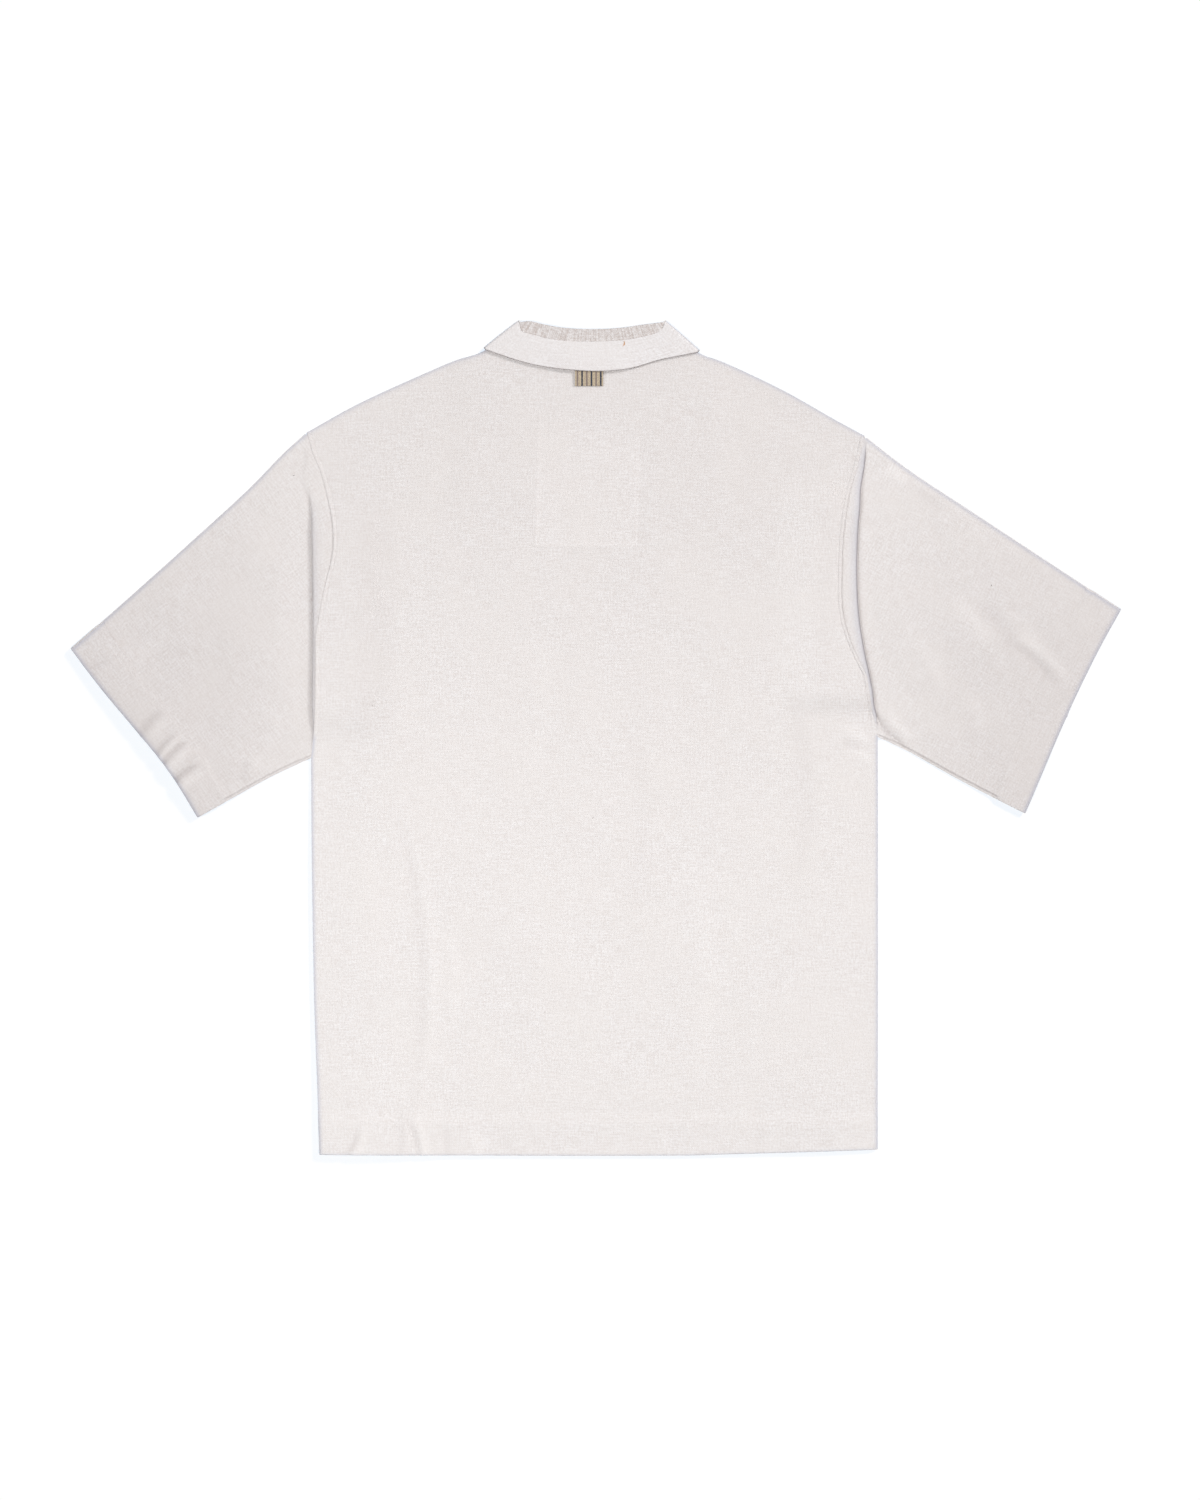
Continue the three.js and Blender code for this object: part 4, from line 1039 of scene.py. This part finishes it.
def top_rows(side, upper_end, lower_end):
    """Start, direction, lengths and places of the sleeve's top rows, from shoulder to underarm."""
    tuck = TUCK[side]
    ends = back_armhole(side)[::-1]
    last = len(ends) - 1
    rows = []
    for i, place in enumerate(ends):
        turn, depth = (float(value) for value in tuck_at(tuck, place[1]))
        if i in (0, last):
            end, way = upper_end if i == 0 else lower_end
            start = end - way * TUCK_LEAD
            length = TUCK_LEAD - SEAM
            turn, depth = 0.0, 0.0
        else:
            way = row_way(side, place[1], upper_end[1], lower_end[1])
            reach = TUCK_LEAD + tuck["inward"] * (place[0] - across_at(FOLD[side], place[1]))
            start = place - way * reach
            _, _, whole = tuck_lengths(turn, depth)
            length = whole + reach - SEAM - tuck_place(turn, depth, whole)[0]
        marks = tuck_marks(turn, depth, length)
        places = [tuck_place(turn, depth, mark) for mark in marks]
        under = float(smooth(0, UNDER_FADE, min(i, last - i)))
        for k, step in enumerate(UNDER_BODY, 1):
            if under > 0:
                marks = np.append(marks, length + SEAM + under * step["reach"])
                run, rise = tuck_place(turn, depth, marks[-1])
                places.append((run, rise - step["dip"] * ARMHOLE["dip"] * under))
            else:
                marks = np.append(marks, length + LEAST_STEP * k)
                places.append((marks[-1], 0.0))
        whole = tuck_lengths(turn, depth)[2]
        # shade and roll hold the painted shade beside the fold and the painted bluish shade on its roll
        rows.append({"start": start, "way": way, "marks": marks, "places": np.array(places),
                     "open": (marks < TUCK_LEAD + OPEN_CLOTH["beyond"]) | (turn < OPEN_CLOTH["turn"]),
                     "shade": shaded_part(tuck, place[1]) * fold_line_shade(marks, whole, FOLD_SHADE[side]),
                     "roll": shaded_part(tuck, place[1]) * fold_roll_shade(marks, whole, FOLD_SHADE[side])})
    return rows


def shaded_part(tuck, y):
    """1 where the fold shows as a painted dark line of shade, and 0 above and below it."""
    top, full, full_low, low = tuck["shade"]
    return float(smooth(top, full, y) * smooth(low, full_low, y))


def fold_line_shade(marks, whole, tones):
    """Painted shade beside the sleeve's fold: how much darker it is on the sleeve's side and on the tuck's.
    """
    before = line_tone(np.maximum(TUCK_LEAD - marks, 0), tones["sleeve"], tones["sleeve_width"])
    after = line_tone(np.maximum(marks - whole, 0), tones["line"], tones["line_width"])
    return np.where(marks < whole, before, after)


def fold_roll_shade(marks, whole, tones):
    """Share of painted bluish shade on the cloth that rolls over the fold."""
    after = line_tone(np.maximum(marks - whole, 0), tones["roll"], tones["roll_width"])
    return np.where(marks < whole, 0, after)


def under_seam(from_lower, tone, height):
    """Tone and height with the seam that runs beside the lower edge of a sleeve: painted shade along the
    seam, a painted highlight along the line beside it, and the seam's step in height.
    """
    inset, soft = UNDER_SEAM["inset"], UNDER_SEAM["soft"]
    tone = tone - line_tone(from_lower - inset, PAINTED_LIGHT["seam"], PAINTED_LIGHT["stitch_width"])
    tone = tone + line_tone(from_lower - inset - UNDER_SEAM["second"], PAINTED_LIGHT["stitch"], PAINTED_LIGHT["stitch_width"])
    return tone, height - UNDER_SEAM["step"] * smooth(inset + soft, inset - soft, from_lower)


def bottom_rows(side, upper):
    """The same of the bottom layer, up to the front armhole."""
    ends = front_armhole(side)[::-1]
    count = len(upper[0]["marks"])
    rows = []
    for i, place in enumerate(ends):
        if i in (0, len(ends) - 1):
            rows.append(upper[0 if i == 0 else -1])
            continue
        way = row_way(side, place[1], upper[0]["way"], upper[-1]["way"])
        marks = np.linspace(0, TUCK_LEAD - SEAM, count)
        rows.append({"start": place - way * TUCK_LEAD, "way": way, "marks": marks,
                     "open": np.zeros(count), "shade": np.zeros(count), "roll": np.zeros(count),
                     "places": np.column_stack([marks, np.zeros(count)])})
    return rows


def sleeve_edge(line):
    """Points of a long edge from the cuff up to where the tuck starts."""
    length = run_of(line)[-1]
    near = np.array(EDGE_STEPS) / length
    rest = np.linspace(near[-1], 1 - TUCK_LEAD / length, STEPS["sleeve"] - len(near) + 2)[1:]
    return along(line, np.concatenate([near, rest]))


def sleeve_layer(side, rows, number, cuff, upper, lower):
    """Grid of one layer from the cuff through the tuck, and its plan as if the tuck were flat."""
    last = len(rows) - 1
    cuff_line = curve(points(cuff))
    near = 1 - np.array(EDGE_STEPS[::-1]) / run_of(cuff_line)[-1]
    rest = np.linspace(0, near[0], last + 2 - len(near))[:-1]
    cuff_edge = along(cuff_line, np.concatenate([rest, near]))
    starts = np.array([row["start"] for row in rows])
    cuff_edge[0], cuff_edge[last] = upper[0], lower[0]
    starts[0], starts[last] = upper[-1], lower[-1]
    plan = patch(cuff_edge, starts, upper, lower)
    across = np.linspace(0, math.pi, last + 1)[None]
    up = np.linspace(0, math.pi, len(plan))[:, None]
    form = SLEEVE_FORM
    swell = np.sin(across) ** form["fullness"] * np.sin(up) ** form["fullness"]
    x, y = plan[..., 0], plan[..., 1]
    height = level(number) + number * form["loft"] * swell
    height += hem_rise(from_edge(plan, 0), CUFF_DEPTH, number) + stand_off(x, y)
    if number:
        inside = np.minimum(1, form["lay"] * np.sin(across)) * np.minimum(1, form["lay"] * np.sin(up))
        creases = np.minimum(1, form["creases"] * np.sin(across)) * creased(x, y, SLEEVE_CREASES[side])
        height += inside * uneven_lay(side, x, y) + creases
    # Painted shade: the sleeve darker than the body, darker in its middle and towards the cuff, and painted
    # bluish shade along its edges
    tone = PAINTED_LIGHT["sleeve"] - PAINTED_LIGHT["sleeve_middle"] * np.sin(up) * np.sin(across)
    tone -= PAINTED_LIGHT["cuff"] * (1 - up / math.pi)
    painted_rim_shade = rim_shade_beside(from_edge(plan, 0), from_edge(plan, 1) + FAR * (1 - number))
    if number:
        from_lower = from_edge(plan, 1, backwards=True)
        on_seam = smooth(CUFF_DEPTH - CUFF_INSIDE["ease"], CUFF_DEPTH, from_edge(plan, 0))
        # Painted shade along the under seam and in crease troughs, with painted highlight beside the seam
        # and on crease ridges
        seam_painted_light, seam_height = under_seam(from_lower, tone, height)
        tone = tone + on_seam * (seam_painted_light - tone) + PAINTED_LIGHT["crease"] * creases
        height = height + on_seam * (seam_height - height)
        height = np.maximum(height, level(0) + stand_off(x, y))
    grid = [np.dstack([plan, height])]
    flat = [with_painted_light(plan, tone, painted_rim_shade)]
    start = starts[:, None]
    ways = np.array([row["way"] for row in rows])[:, None]
    places = np.array([row["places"] for row in rows])
    marks = np.array([row["marks"] for row in rows])
    tuck = start + ways * places[..., :1]
    rise = level(number) + number * places[..., 1] + stand_off(tuck[..., 0], tuck[..., 1])
    # Painted shade beside the tuck's fold
    tuck_painted_light = PAINTED_LIGHT["sleeve"] - np.array([row["shade"] for row in rows])
    if number:
        lay_open = np.array([row["open"] for row in rows]) * 1.0
        near_creases = creased(tuck[..., 0], tuck[..., 1], SLEEVE_CREASES[side]) * lay_open
        ease = (height - creases - stand_off(x, y))[-1][:, None] - level(number)
        rise = rise + ease * smooth(*LEAD_EASE, marks) + near_creases
        # Painted shade along the under seam and in crease troughs, as above
        seam_painted_light, seam_rise = under_seam(from_edge(tuck, 0, backwards=True), tuck_painted_light, rise)
        tuck_painted_light = tuck_painted_light + lay_open * (seam_painted_light - tuck_painted_light) + PAINTED_LIGHT["crease"] * near_creases
        rise = rise + lay_open * smooth(*SEAM_EASE, marks) * (seam_rise - rise)
        rise = np.maximum(rise, level(0) + stand_off(tuck[..., 0], tuck[..., 1]))
    grid.append(np.dstack([tuck, rise]).transpose(1, 0, 2)[1:])
    # Painted bluish shade on the roll over the fold and along the shoulder edge
    roll = np.maximum([row["roll"] for row in rows], number * rim_shade_beside(from_edge(tuck, 0)))
    flat.append(with_painted_light(start + ways * marks[..., None], tuck_painted_light, roll).transpose(1, 0, 2)[1:])
    return np.concatenate(grid), np.concatenate(flat)


def turn_round(start, end, outward, count=5):
    """Places round a folded edge, from one layer to the other."""
    middle = (start + end) / 2
    half = start - middle
    radius = np.linalg.norm(half, axis=-1)[:, None]
    angles = np.linspace(0, math.pi, count + 1)[1:-1]
    return np.stack([middle + half * math.cos(angle) + outward * radius * math.sin(angle)
                     for angle in angles], axis=1)


def sleeve(side):
    cut = SLEEVE[side]
    inward = TUCK[side]["inward"]
    upper_line = inset_edge(curve(points(cut["upper"])), inward)[::-1]
    lower_line = inset_edge(curve(points(cut["lower"])), inward)
    end_of = lambda line: (line[-1], (line[-1] - line[-9]) / np.linalg.norm(line[-1] - line[-9]))
    rows = top_rows(side, end_of(upper_line), end_of(lower_line))
    upper, lower = sleeve_edge(upper_line), sleeve_edge(lower_line)
    top, top_flat = sleeve_layer(side, rows, 1, cut["cuff"], upper, lower)
    below = bottom_rows(side, rows)
    bottom, bottom_flat = sleeve_layer(side, below, 0, cut["cuff"], upper, lower)
    bottom, bottom_flat = bottom[:, ::-1], bottom_flat[:, ::-1]
    cuff_mouth = top[0, -1] - top[0, 0]

    def outward(column, sign):
        way = leftward(top[:, column])
        return sign * inward * np.column_stack([way, np.zeros(len(way))])

    lower_turn = turn_round(top[:, -1], bottom[:, 0], outward(-1, -1))
    upper_turn = turn_round(bottom[:, -1], top[:, 0], outward(0, 1))
    ring = np.concatenate([top, lower_turn, bottom, upper_turn, top[:, :1]], axis=1)
    hold = lambda flat, turn: np.repeat(flat[:, None], turn.shape[1], axis=1)
    plan = np.concatenate([top_flat, hold(top_flat[:, -1], lower_turn), bottom_flat,
                           hold(bottom_flat[:, -1], upper_turn), top_flat[:, :1]], axis=1)
    axis = -np.array([-cuff_mouth[1], cuff_mouth[0]]) / math.hypot(*cuff_mouth[:2])
    sideways = np.array([-axis[1], axis[0]])
    weave = np.dstack([plan[..., :2] @ sideways, plan[..., :2] @ axis, plan[..., 2:]])
    ring, weave = with_turned_cuff(ring, weave, top.shape[1])
    piece = cloth(f"sleeve_{side}_cloth", ring, weave, LINEN)
    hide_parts(f"sleeve_{side}")
    return piece


def with_turned_cuff(ring, weave, top_count):
    """Adds the part of the cuff hem that is turned inside, where the top layer's columns come first."""
    run = from_edge(ring, 0)
    count = int(np.searchsorted(run[:, top_count // 2], CUFF_DEPTH))
    inside = ring[:count].copy()
    centre = (ring[:count, :top_count].mean(axis=1) + ring[:count, top_count:].mean(axis=1))[:, None] / 2
    to_centre = (centre - inside)[..., :2]
    reach = np.linalg.norm(to_centre, axis=-1)[..., None]
    inside[..., :2] += to_centre / np.maximum(reach, 1) * np.minimum(TURNING, reach) * CUFF_INSIDE["inward"]
    middle = centre[..., 2]
    side = np.sign(inside[..., 2] - middle)
    inside[..., 2] -= side * np.minimum(TURNING, np.abs(inside[..., 2] - middle) * CUFF_INSIDE["upward"])
    ahead = unit(ring[0] - ring[1])
    bends = []
    for share in CUFF_TURN:
        angle = math.pi * share
        mix = (1 - math.cos(angle)) / 2
        bends.append(ring[0] * (1 - mix) + inside[0] * mix + ahead * (TURNING / 2 * math.sin(angle)))
    turned = weave[:count].copy()
    turned[..., 1] = 2 * weave[0, :, 1] - weave[:count, :, 1]
    whole = np.concatenate([inside[::-1], np.array(bends), ring])
    return whole, np.concatenate([turned[::-1], np.repeat(weave[:1], len(CUFF_TURN), axis=0), weave])


# Collar

def collar_stations():
    """Places on the neckline, roll, leaf seam and leaf edge round the collar, and how they turn."""
    def side_axis(side):
        top, bottom = (np.array(NECK_SIDE[side][name]) for name in ("top", "bottom"))
        way = bottom - top
        outward = np.array([way[1], -way[0]]) / math.hypot(*way) * (1 if side == "left" else -1)
        start = top - outward * COLLAR_EDGE
        return {"neck": start + way * NECK_SIDE_SHARE["stand"], "roll": start,
                "seam": start + way * NECK_SIDE_SHARE["seam"], "edge": start + way, "outward": outward}

    sides = {side: side_axis(side) for side in NECK_SIDE}
    left, right = sides["left"], sides["right"]
    between = lambda rows, name, count: spaced(
        np.vstack([left[name], points(rows["back"]), right[name]]), count)
    count = STEPS["collar_back"]
    back = {"neck": spaced(NECKLINE["back"], count), "roll": between(ROLL, "roll", count),
            "seam": between(LEAF_SEAM, "seam", count), "edge": between(LEAF_EDGE, "edge", count)}

    def front(side):
        start = sides[side]
        count = STEPS["collar_front"]
        run = lambda rows, name: spaced(np.vstack([start[name], points(rows[side])]), count)
        stretch = {"neck": spaced(NECKLINE[side], count), "roll": run(ROLL, "roll"),
                   "seam": run(LEAF_SEAM, "seam"), "edge": run(LEAF_EDGE, "edge")}
        clear = (SLIT["width"] / 2 + 0.3) * (-1 if side == "left" else 1)
        before, end = stretch["neck"][-2:]
        share = (SLIT["x"] + clear - before[0]) / (end[0] - before[0])
        stretch["neck"][-1] = before + (end - before) * share
        return stretch

    def stations(stretch, indices, turns, outward):
        return [{**{name: line[i] for name, line in stretch.items()}, "turn": turn, "outward": outward}
                for i, turn in zip(indices, turns)]

    quarter = math.pi / 2
    around = np.linspace(quarter, -quarter, STEPS["collar_turn"] + 1)[1:-1]
    front_count = STEPS["collar_front"]
    ends = {side: front(side) for side in sides}
    fore = {side: stations(ends[side], range(front_count + 1), [-quarter] * (front_count + 1),
                           sides[side]["outward"]) for side in sides}
    return [
        *fore["left"][::-1],
        *stations(back, [0] * len(around), around[::-1], left["outward"]),
        *stations(back, range(count + 1), [quarter] * (count + 1), left["outward"]),
        *stations(back, [count] * len(around), around, right["outward"]),
        *fore["right"],
    ]


def collar_point(place, station, offset):
    """A place on the collar, moved off the middle height by an offset."""
    plan = place + station["outward"] * math.cos(station["turn"]) * offset
    return [*plan, NECK_MIDDLE + math.sin(station["turn"]) * offset]


def collar_weave(grid):
    """Weave coordinates: along the collar, and across it."""
    along_it = np.repeat(run_of(grid[:, 0])[:, None], grid.shape[1], axis=1)
    across_it = np.array([run_of(row) for row in grid])
    return with_painted_light(np.dstack([along_it, across_it]))


STAND_FALL = table("share dip", (0.3, 0), (0.6, 0), (0.85, 0.1), (1, 0.5))


def collar_stand():
    rows = []
    for station in collar_stations():
        neck, roll, seam = station["neck"], station["roll"], station["seam"]
        way = (roll - neck) / np.linalg.norm(roll - neck)
        foot = neck + way * SEAM
        crown = roll - way * CROWN
        tail = crown + (seam - crown) * (1 + STAND_TAIL / np.linalg.norm(seam - crown))
        inner = [collar_point(foot + (crown - foot) * share, station, INNER_OFFSET)
                 for share in np.linspace(0, 1, 7)]
        turn = [collar_point(crown + way * ROLL_BULGE * math.sin(angle), station,
                             LAYER - LAYER / 2 * math.cos(angle))
                for angle in np.linspace(0, math.pi, 9)[1:]]
        outer = [collar_point(crown + (tail - crown) * fall["share"], station, OUTER_OFFSET - fall["dip"])
                 for fall in STAND_FALL]
        rows.append([*inner, *turn, *outer])
    grid = np.array(rows)
    x, y = grid[..., 0], grid[..., 1]
    grid[..., 2] += uneven_lay("stand", x, y) * (grid[..., 2] > NECK_MIDDLE)
    weave = collar_weave(grid)
    weave[..., 2] = PAINTED_LIGHT["stand"]
    piece = cloth("collar_stand_linen", grid, weave, STAND_LINEN, STAND_CLOTH)
    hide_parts("collar_stand")
    return piece


LEAF_SHARES = np.concatenate([[0, 0.03, 0.07], np.linspace(0.12, 0.9, 12), [0.94, 0.97, 1]])
LEAF_BEVEL = 0.35
LEAF_EDGE_SHADE = (0.965, 1)  # shares of the fall over which painted shade darkens the leaf's edge
# range of the leaf's turn over which its painted bluish shade grows at the sides of the neck
LEAF_SIDE_SHADE = (0.3, 1)


def collar_leaf():
    rows = []
    for station in collar_stations():
        seam, edge = station["seam"], station["edge"]
        down = edge - seam
        start = SEAM / 2 / np.linalg.norm(down)
        row = []
        for share in LEAF_SHARES:
            place = seam + down * (start + (1 - start) * share)
            aside = abs(place[0] - (TAB["left"] + TAB["right"]) / 2)
            ride = 0.0
            if station["turn"] == math.pi / 2:
                over_tape = smooth(TAPE_RIDE["half"] + TAPE_RIDE["fade"], TAPE_RIDE["half"], aside)
                ride = TAPE_RIDE["lift"] * float(over_tape * smooth(*TAPE_RIDE["start"], share))
            at_back = (1 + math.sin(station["turn"])) / 2
            belly = LEAF_BELLY["rise"] * math.sin(math.pi * share)
            belly -= LEAF_BELLY["dip"] * float(smooth(LEAF_BELLY["start"], 0, share))
            offset = LEAF_OFFSET["front"] + (LEAF_OFFSET["back"] - LEAF_OFFSET["front"] + belly) * at_back
            row.append(collar_point(place, station, offset + ride))
        rows.append(row)
    grid = np.array(rows)
    weave = collar_weave(grid)
    # Painted shade darkening the leaf's lower edge, and painted bluish shade over the leaf, more where it
    # turns down at the sides of the neck
    weave[..., 2] = PAINTED_LIGHT["leaf"] - PAINTED_LIGHT["leaf_edge"] * smooth(*LEAF_EDGE_SHADE, LEAF_SHARES)
    at_side = np.array([math.cos(station["turn"]) for station in collar_stations()])[:, None]
    weave[..., 3] = RIM_SHADE["leaf"] + RIM_SHADE["share"] * smooth(*LEAF_SIDE_SHADE, at_side)
    piece = cloth("collar_leaf_cloth", grid, weave, LINEN, LEAF_CLOTH)
    applied(piece, "BEVEL", width=LEAF_BEVEL * MM, segments=2, limit_method="ANGLE",
            angle_limit=BEVEL_ANGLE)
    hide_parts("collar_leaf")
    return piece


def neck_facing():
    inside = [place for place in np.vstack([points(NECKLINE["left"]), points(NECKLINE["right"])[-2::-1]])
              if place[1] < FACING["top"] - 1]
    corners = [(FACING[side], FACING["top"]) for side in ("left", "right")]
    upper = spaced(np.array([corners[0], *inside, corners[1]]), STEPS["facing"])
    low_left = np.array([FACING["left"] + FACING["lean"], FACING["bottom"]])
    low_right = np.array([FACING["right"] + FACING["lean"], FACING["bottom"]])
    shares = np.linspace(0, 1, STEPS["facing"] + 1)
    straight = lambda start, end: start + (end - start) * shares[:, None]
    plan = patch(straight(low_left, low_right), upper, straight(low_left, upper[0]),
                 straight(low_right, upper[-1]))
    height = front_plain_height(plan[..., 0], plan[..., 1]) + FACING["layer"] * LAYER
    piece = cloth("neck_facing_cloth", np.dstack([plan, height]), with_painted_light(plan), LINEN)
    cut_slit(piece)
    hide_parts("neck_facing")
    return piece


def hang_tab(back):
    """Loop of tape, folded at its lower edge, with its two ends under the collar leaf."""
    across = np.linspace(TAB["left"], TAB["right"], 23)
    fold, above = TAB["fold"], TAB["above"]
    rows = []
    for y in np.linspace(TAB["top"], TAB["bottom"] + fold, 12):
        rows.append([(x, y, above) for x in across])
    for angle in np.linspace(0, math.pi, 7)[1:-1]:
        y = TAB["bottom"] + fold - fold * math.sin(angle)
        rows.append([(x, y, above + fold - fold * math.cos(angle)) for x in across])
    for y in np.linspace(TAB["bottom"] + fold, TAB["top"], 14):
        lift = TAB["bulge"] * math.sin(math.pi * float(smooth(TAB["bottom"], TAB["top"], y)))
        rows.append([(x, y, above + 2 * fold + lift) for x in across])
    grid = np.array(rows)
    ground = np.array([surface_height(back, x, y) for x, y in grid[..., :2].reshape(-1, 2)])
    grid[..., 2] += ground.reshape(grid.shape[:2])
    weave = with_painted_light(np.dstack([grid[..., 0] - TAB["left"], from_edge(grid, 0)]))
    piece = cloth("hang_tab_tape", grid, weave, TAPE, TAPE_CLOTH)
    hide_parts("hang_tab")
    return piece


# Sewing and loose fibres

STITCH = {"pitch": 3.0, "length": 2.3, "width": 0.42, "height": 0.3, "sink": 0.12}
HEM_STITCHED = (-260, 264)
FIBRE_RISE = 0.1


def one_stitch():
    """A short rounded thread along X, as points and faces, to be copied."""
    bpy.ops.object.select_all(action="DESELECT")
    bpy.ops.mesh.primitive_uv_sphere_add(segments=8, ring_count=5, radius=0.5)
    thread = bpy.context.object
    edit(thread, (bpy.ops.transform.rotate, {"value": math.pi / 2, "orient_axis": "Y",
                                             "center_override": (0, 0, 0)}),
         (bpy.ops.transform.resize, {"value": (STITCH["length"], STITCH["width"], STITCH["height"]),
                                     "center_override": (0, 0, 0)}))
    places = np.array([vertex.co[:] for vertex in thread.data.vertices])
    faces = [tuple(face.vertices) for face in thread.data.polygons]
    bpy.data.objects.remove(thread)
    return places, faces


STITCH_PLACES, STITCH_FACES = one_stitch()


def threads(name, spots, material):
    """One mesh of copied threads. A spot is x, y, z, heading and scale."""
    places, faces = [], []
    for x, y, z, heading, scale in spots:
        turned = STITCH_PLACES * scale
        cos, sin = math.cos(heading), math.sin(heading)
        plan = np.column_stack([turned[:, 0] * cos - turned[:, 1] * sin,
                                turned[:, 0] * sin + turned[:, 1] * cos, turned[:, 2]])
        first = len(places) * len(STITCH_PLACES)
        places.append(plan + (x, y + CENTRING, z))
        faces += [tuple(index + first for index in face) for face in STITCH_FACES]
    mesh = bpy.data.meshes.new(name)
    mesh.from_pydata((np.vstack(places) * MM).tolist(), [], faces)
    piece = bpy.data.objects.new(name, mesh)
    bpy.context.scene.collection.objects.link(piece)
    mesh.materials.append(material)
    settle(piece)
    bpy.ops.object.shade_smooth()
    return piece


def stitched(line, ground):
    """Spots of stitches along a line, sunk a little into the top of a piece."""
    length = run_of(line)[-1]
    count = int(length / STITCH["pitch"])
    places = along(line, (np.arange(count) + 0.5) / count)
    ahead = along(line, np.clip((np.arange(count) + 0.6) / count, 0, 1))
    spots = []
    for (x, y), (to_x, to_y) in zip(places, ahead):
        z = surface_height(ground, x, y)
        if z is not None:
            spots.append((x, y, z - STITCH["sink"], math.atan2(to_y - y, to_x - x), 1.0))
    return spots


def body_stitching(back):
    hem = chain(*[curve(points(HEM[name])) for name in ("left", "middle", "right")]) + (0, HEM_DEPTH)
    spots = stitched(hem[(hem[:, 0] > HEM_STITCHED[0]) & (hem[:, 0] < HEM_STITCHED[1])], back)
    for side, sign in (("left", -1), ("right", 1)):
        line = chain(curve(points(UNDER[side])), curve(points(BACK_ARMHOLE[side])))
        spots += stitched((line + sign * ARMHOLE["stitch"] * leftward(line))[12:], back)
    return threads("body_stitching", spots, THREAD)


def cuff_stitching(side, piece):
    cuff = curve(points(SLEEVE[side]["cuff"]))
    line = cuff + CUFF_DEPTH * TUCK[side]["inward"] * leftward(cuff)
    spots = stitched(line[6:-6], piece)
    return threads(f"cuff_stitching_{side}", spots, THREAD)


FLECKS = table("x y heading scale", (-286.9, 248.3, 0.4, 1.1), (375.3, 143.8, 1.2, 1.0),
               (-211.9, 29.8, 2.0, 0.8), (-2.9, -76.6, 0.9, 0.8), (-48.5, -260.9, 0.3, 0.8))
THREAD_END = table("x y heading scale", (26.9, 373.4, 1.7, 2.0), (26.0, 371.6, 1.2, 1.4))


def fibres(name, rows, grounds, material):
    """Short fibres that lie on whichever of the pieces is on top."""
    spots = []
    for row in rows:
        heights = [surface_height(ground, row["x"], row["y"]) for ground in grounds]
        top = max(height for height in heights if height is not None)
        spots.append((row["x"], row["y"], top + FIBRE_RISE, row["heading"], row["scale"]))
    return threads(name, spots, material)


def main():
    front = front_panel()
    back = back_panel()
    sleeves = {side: sleeve(side) for side in SLEEVE}
    stand = collar_stand()
    leaf = collar_leaf()
    facing = neck_facing()
    tab = hang_tab(back)
    sewing = body_stitching(back)
    cuffs = {side: cuff_stitching(side, sleeves[side]) for side in sleeves}
    flecks = fibres("bast_flecks", FLECKS, (back, *sleeves.values()), fibre("brown_bast_fibre", "#6d5f55"))
    end = fibres("loose_thread_end", THREAD_END, (leaf, stand), fibre("tan_cotton_thread", "#bd8a5c"))
    for piece in (front, back, *sleeves.values(), stand, leaf, facing, tab, sewing, *cuffs.values(),
                  flecks, end):
        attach(piece, BODY)


main()
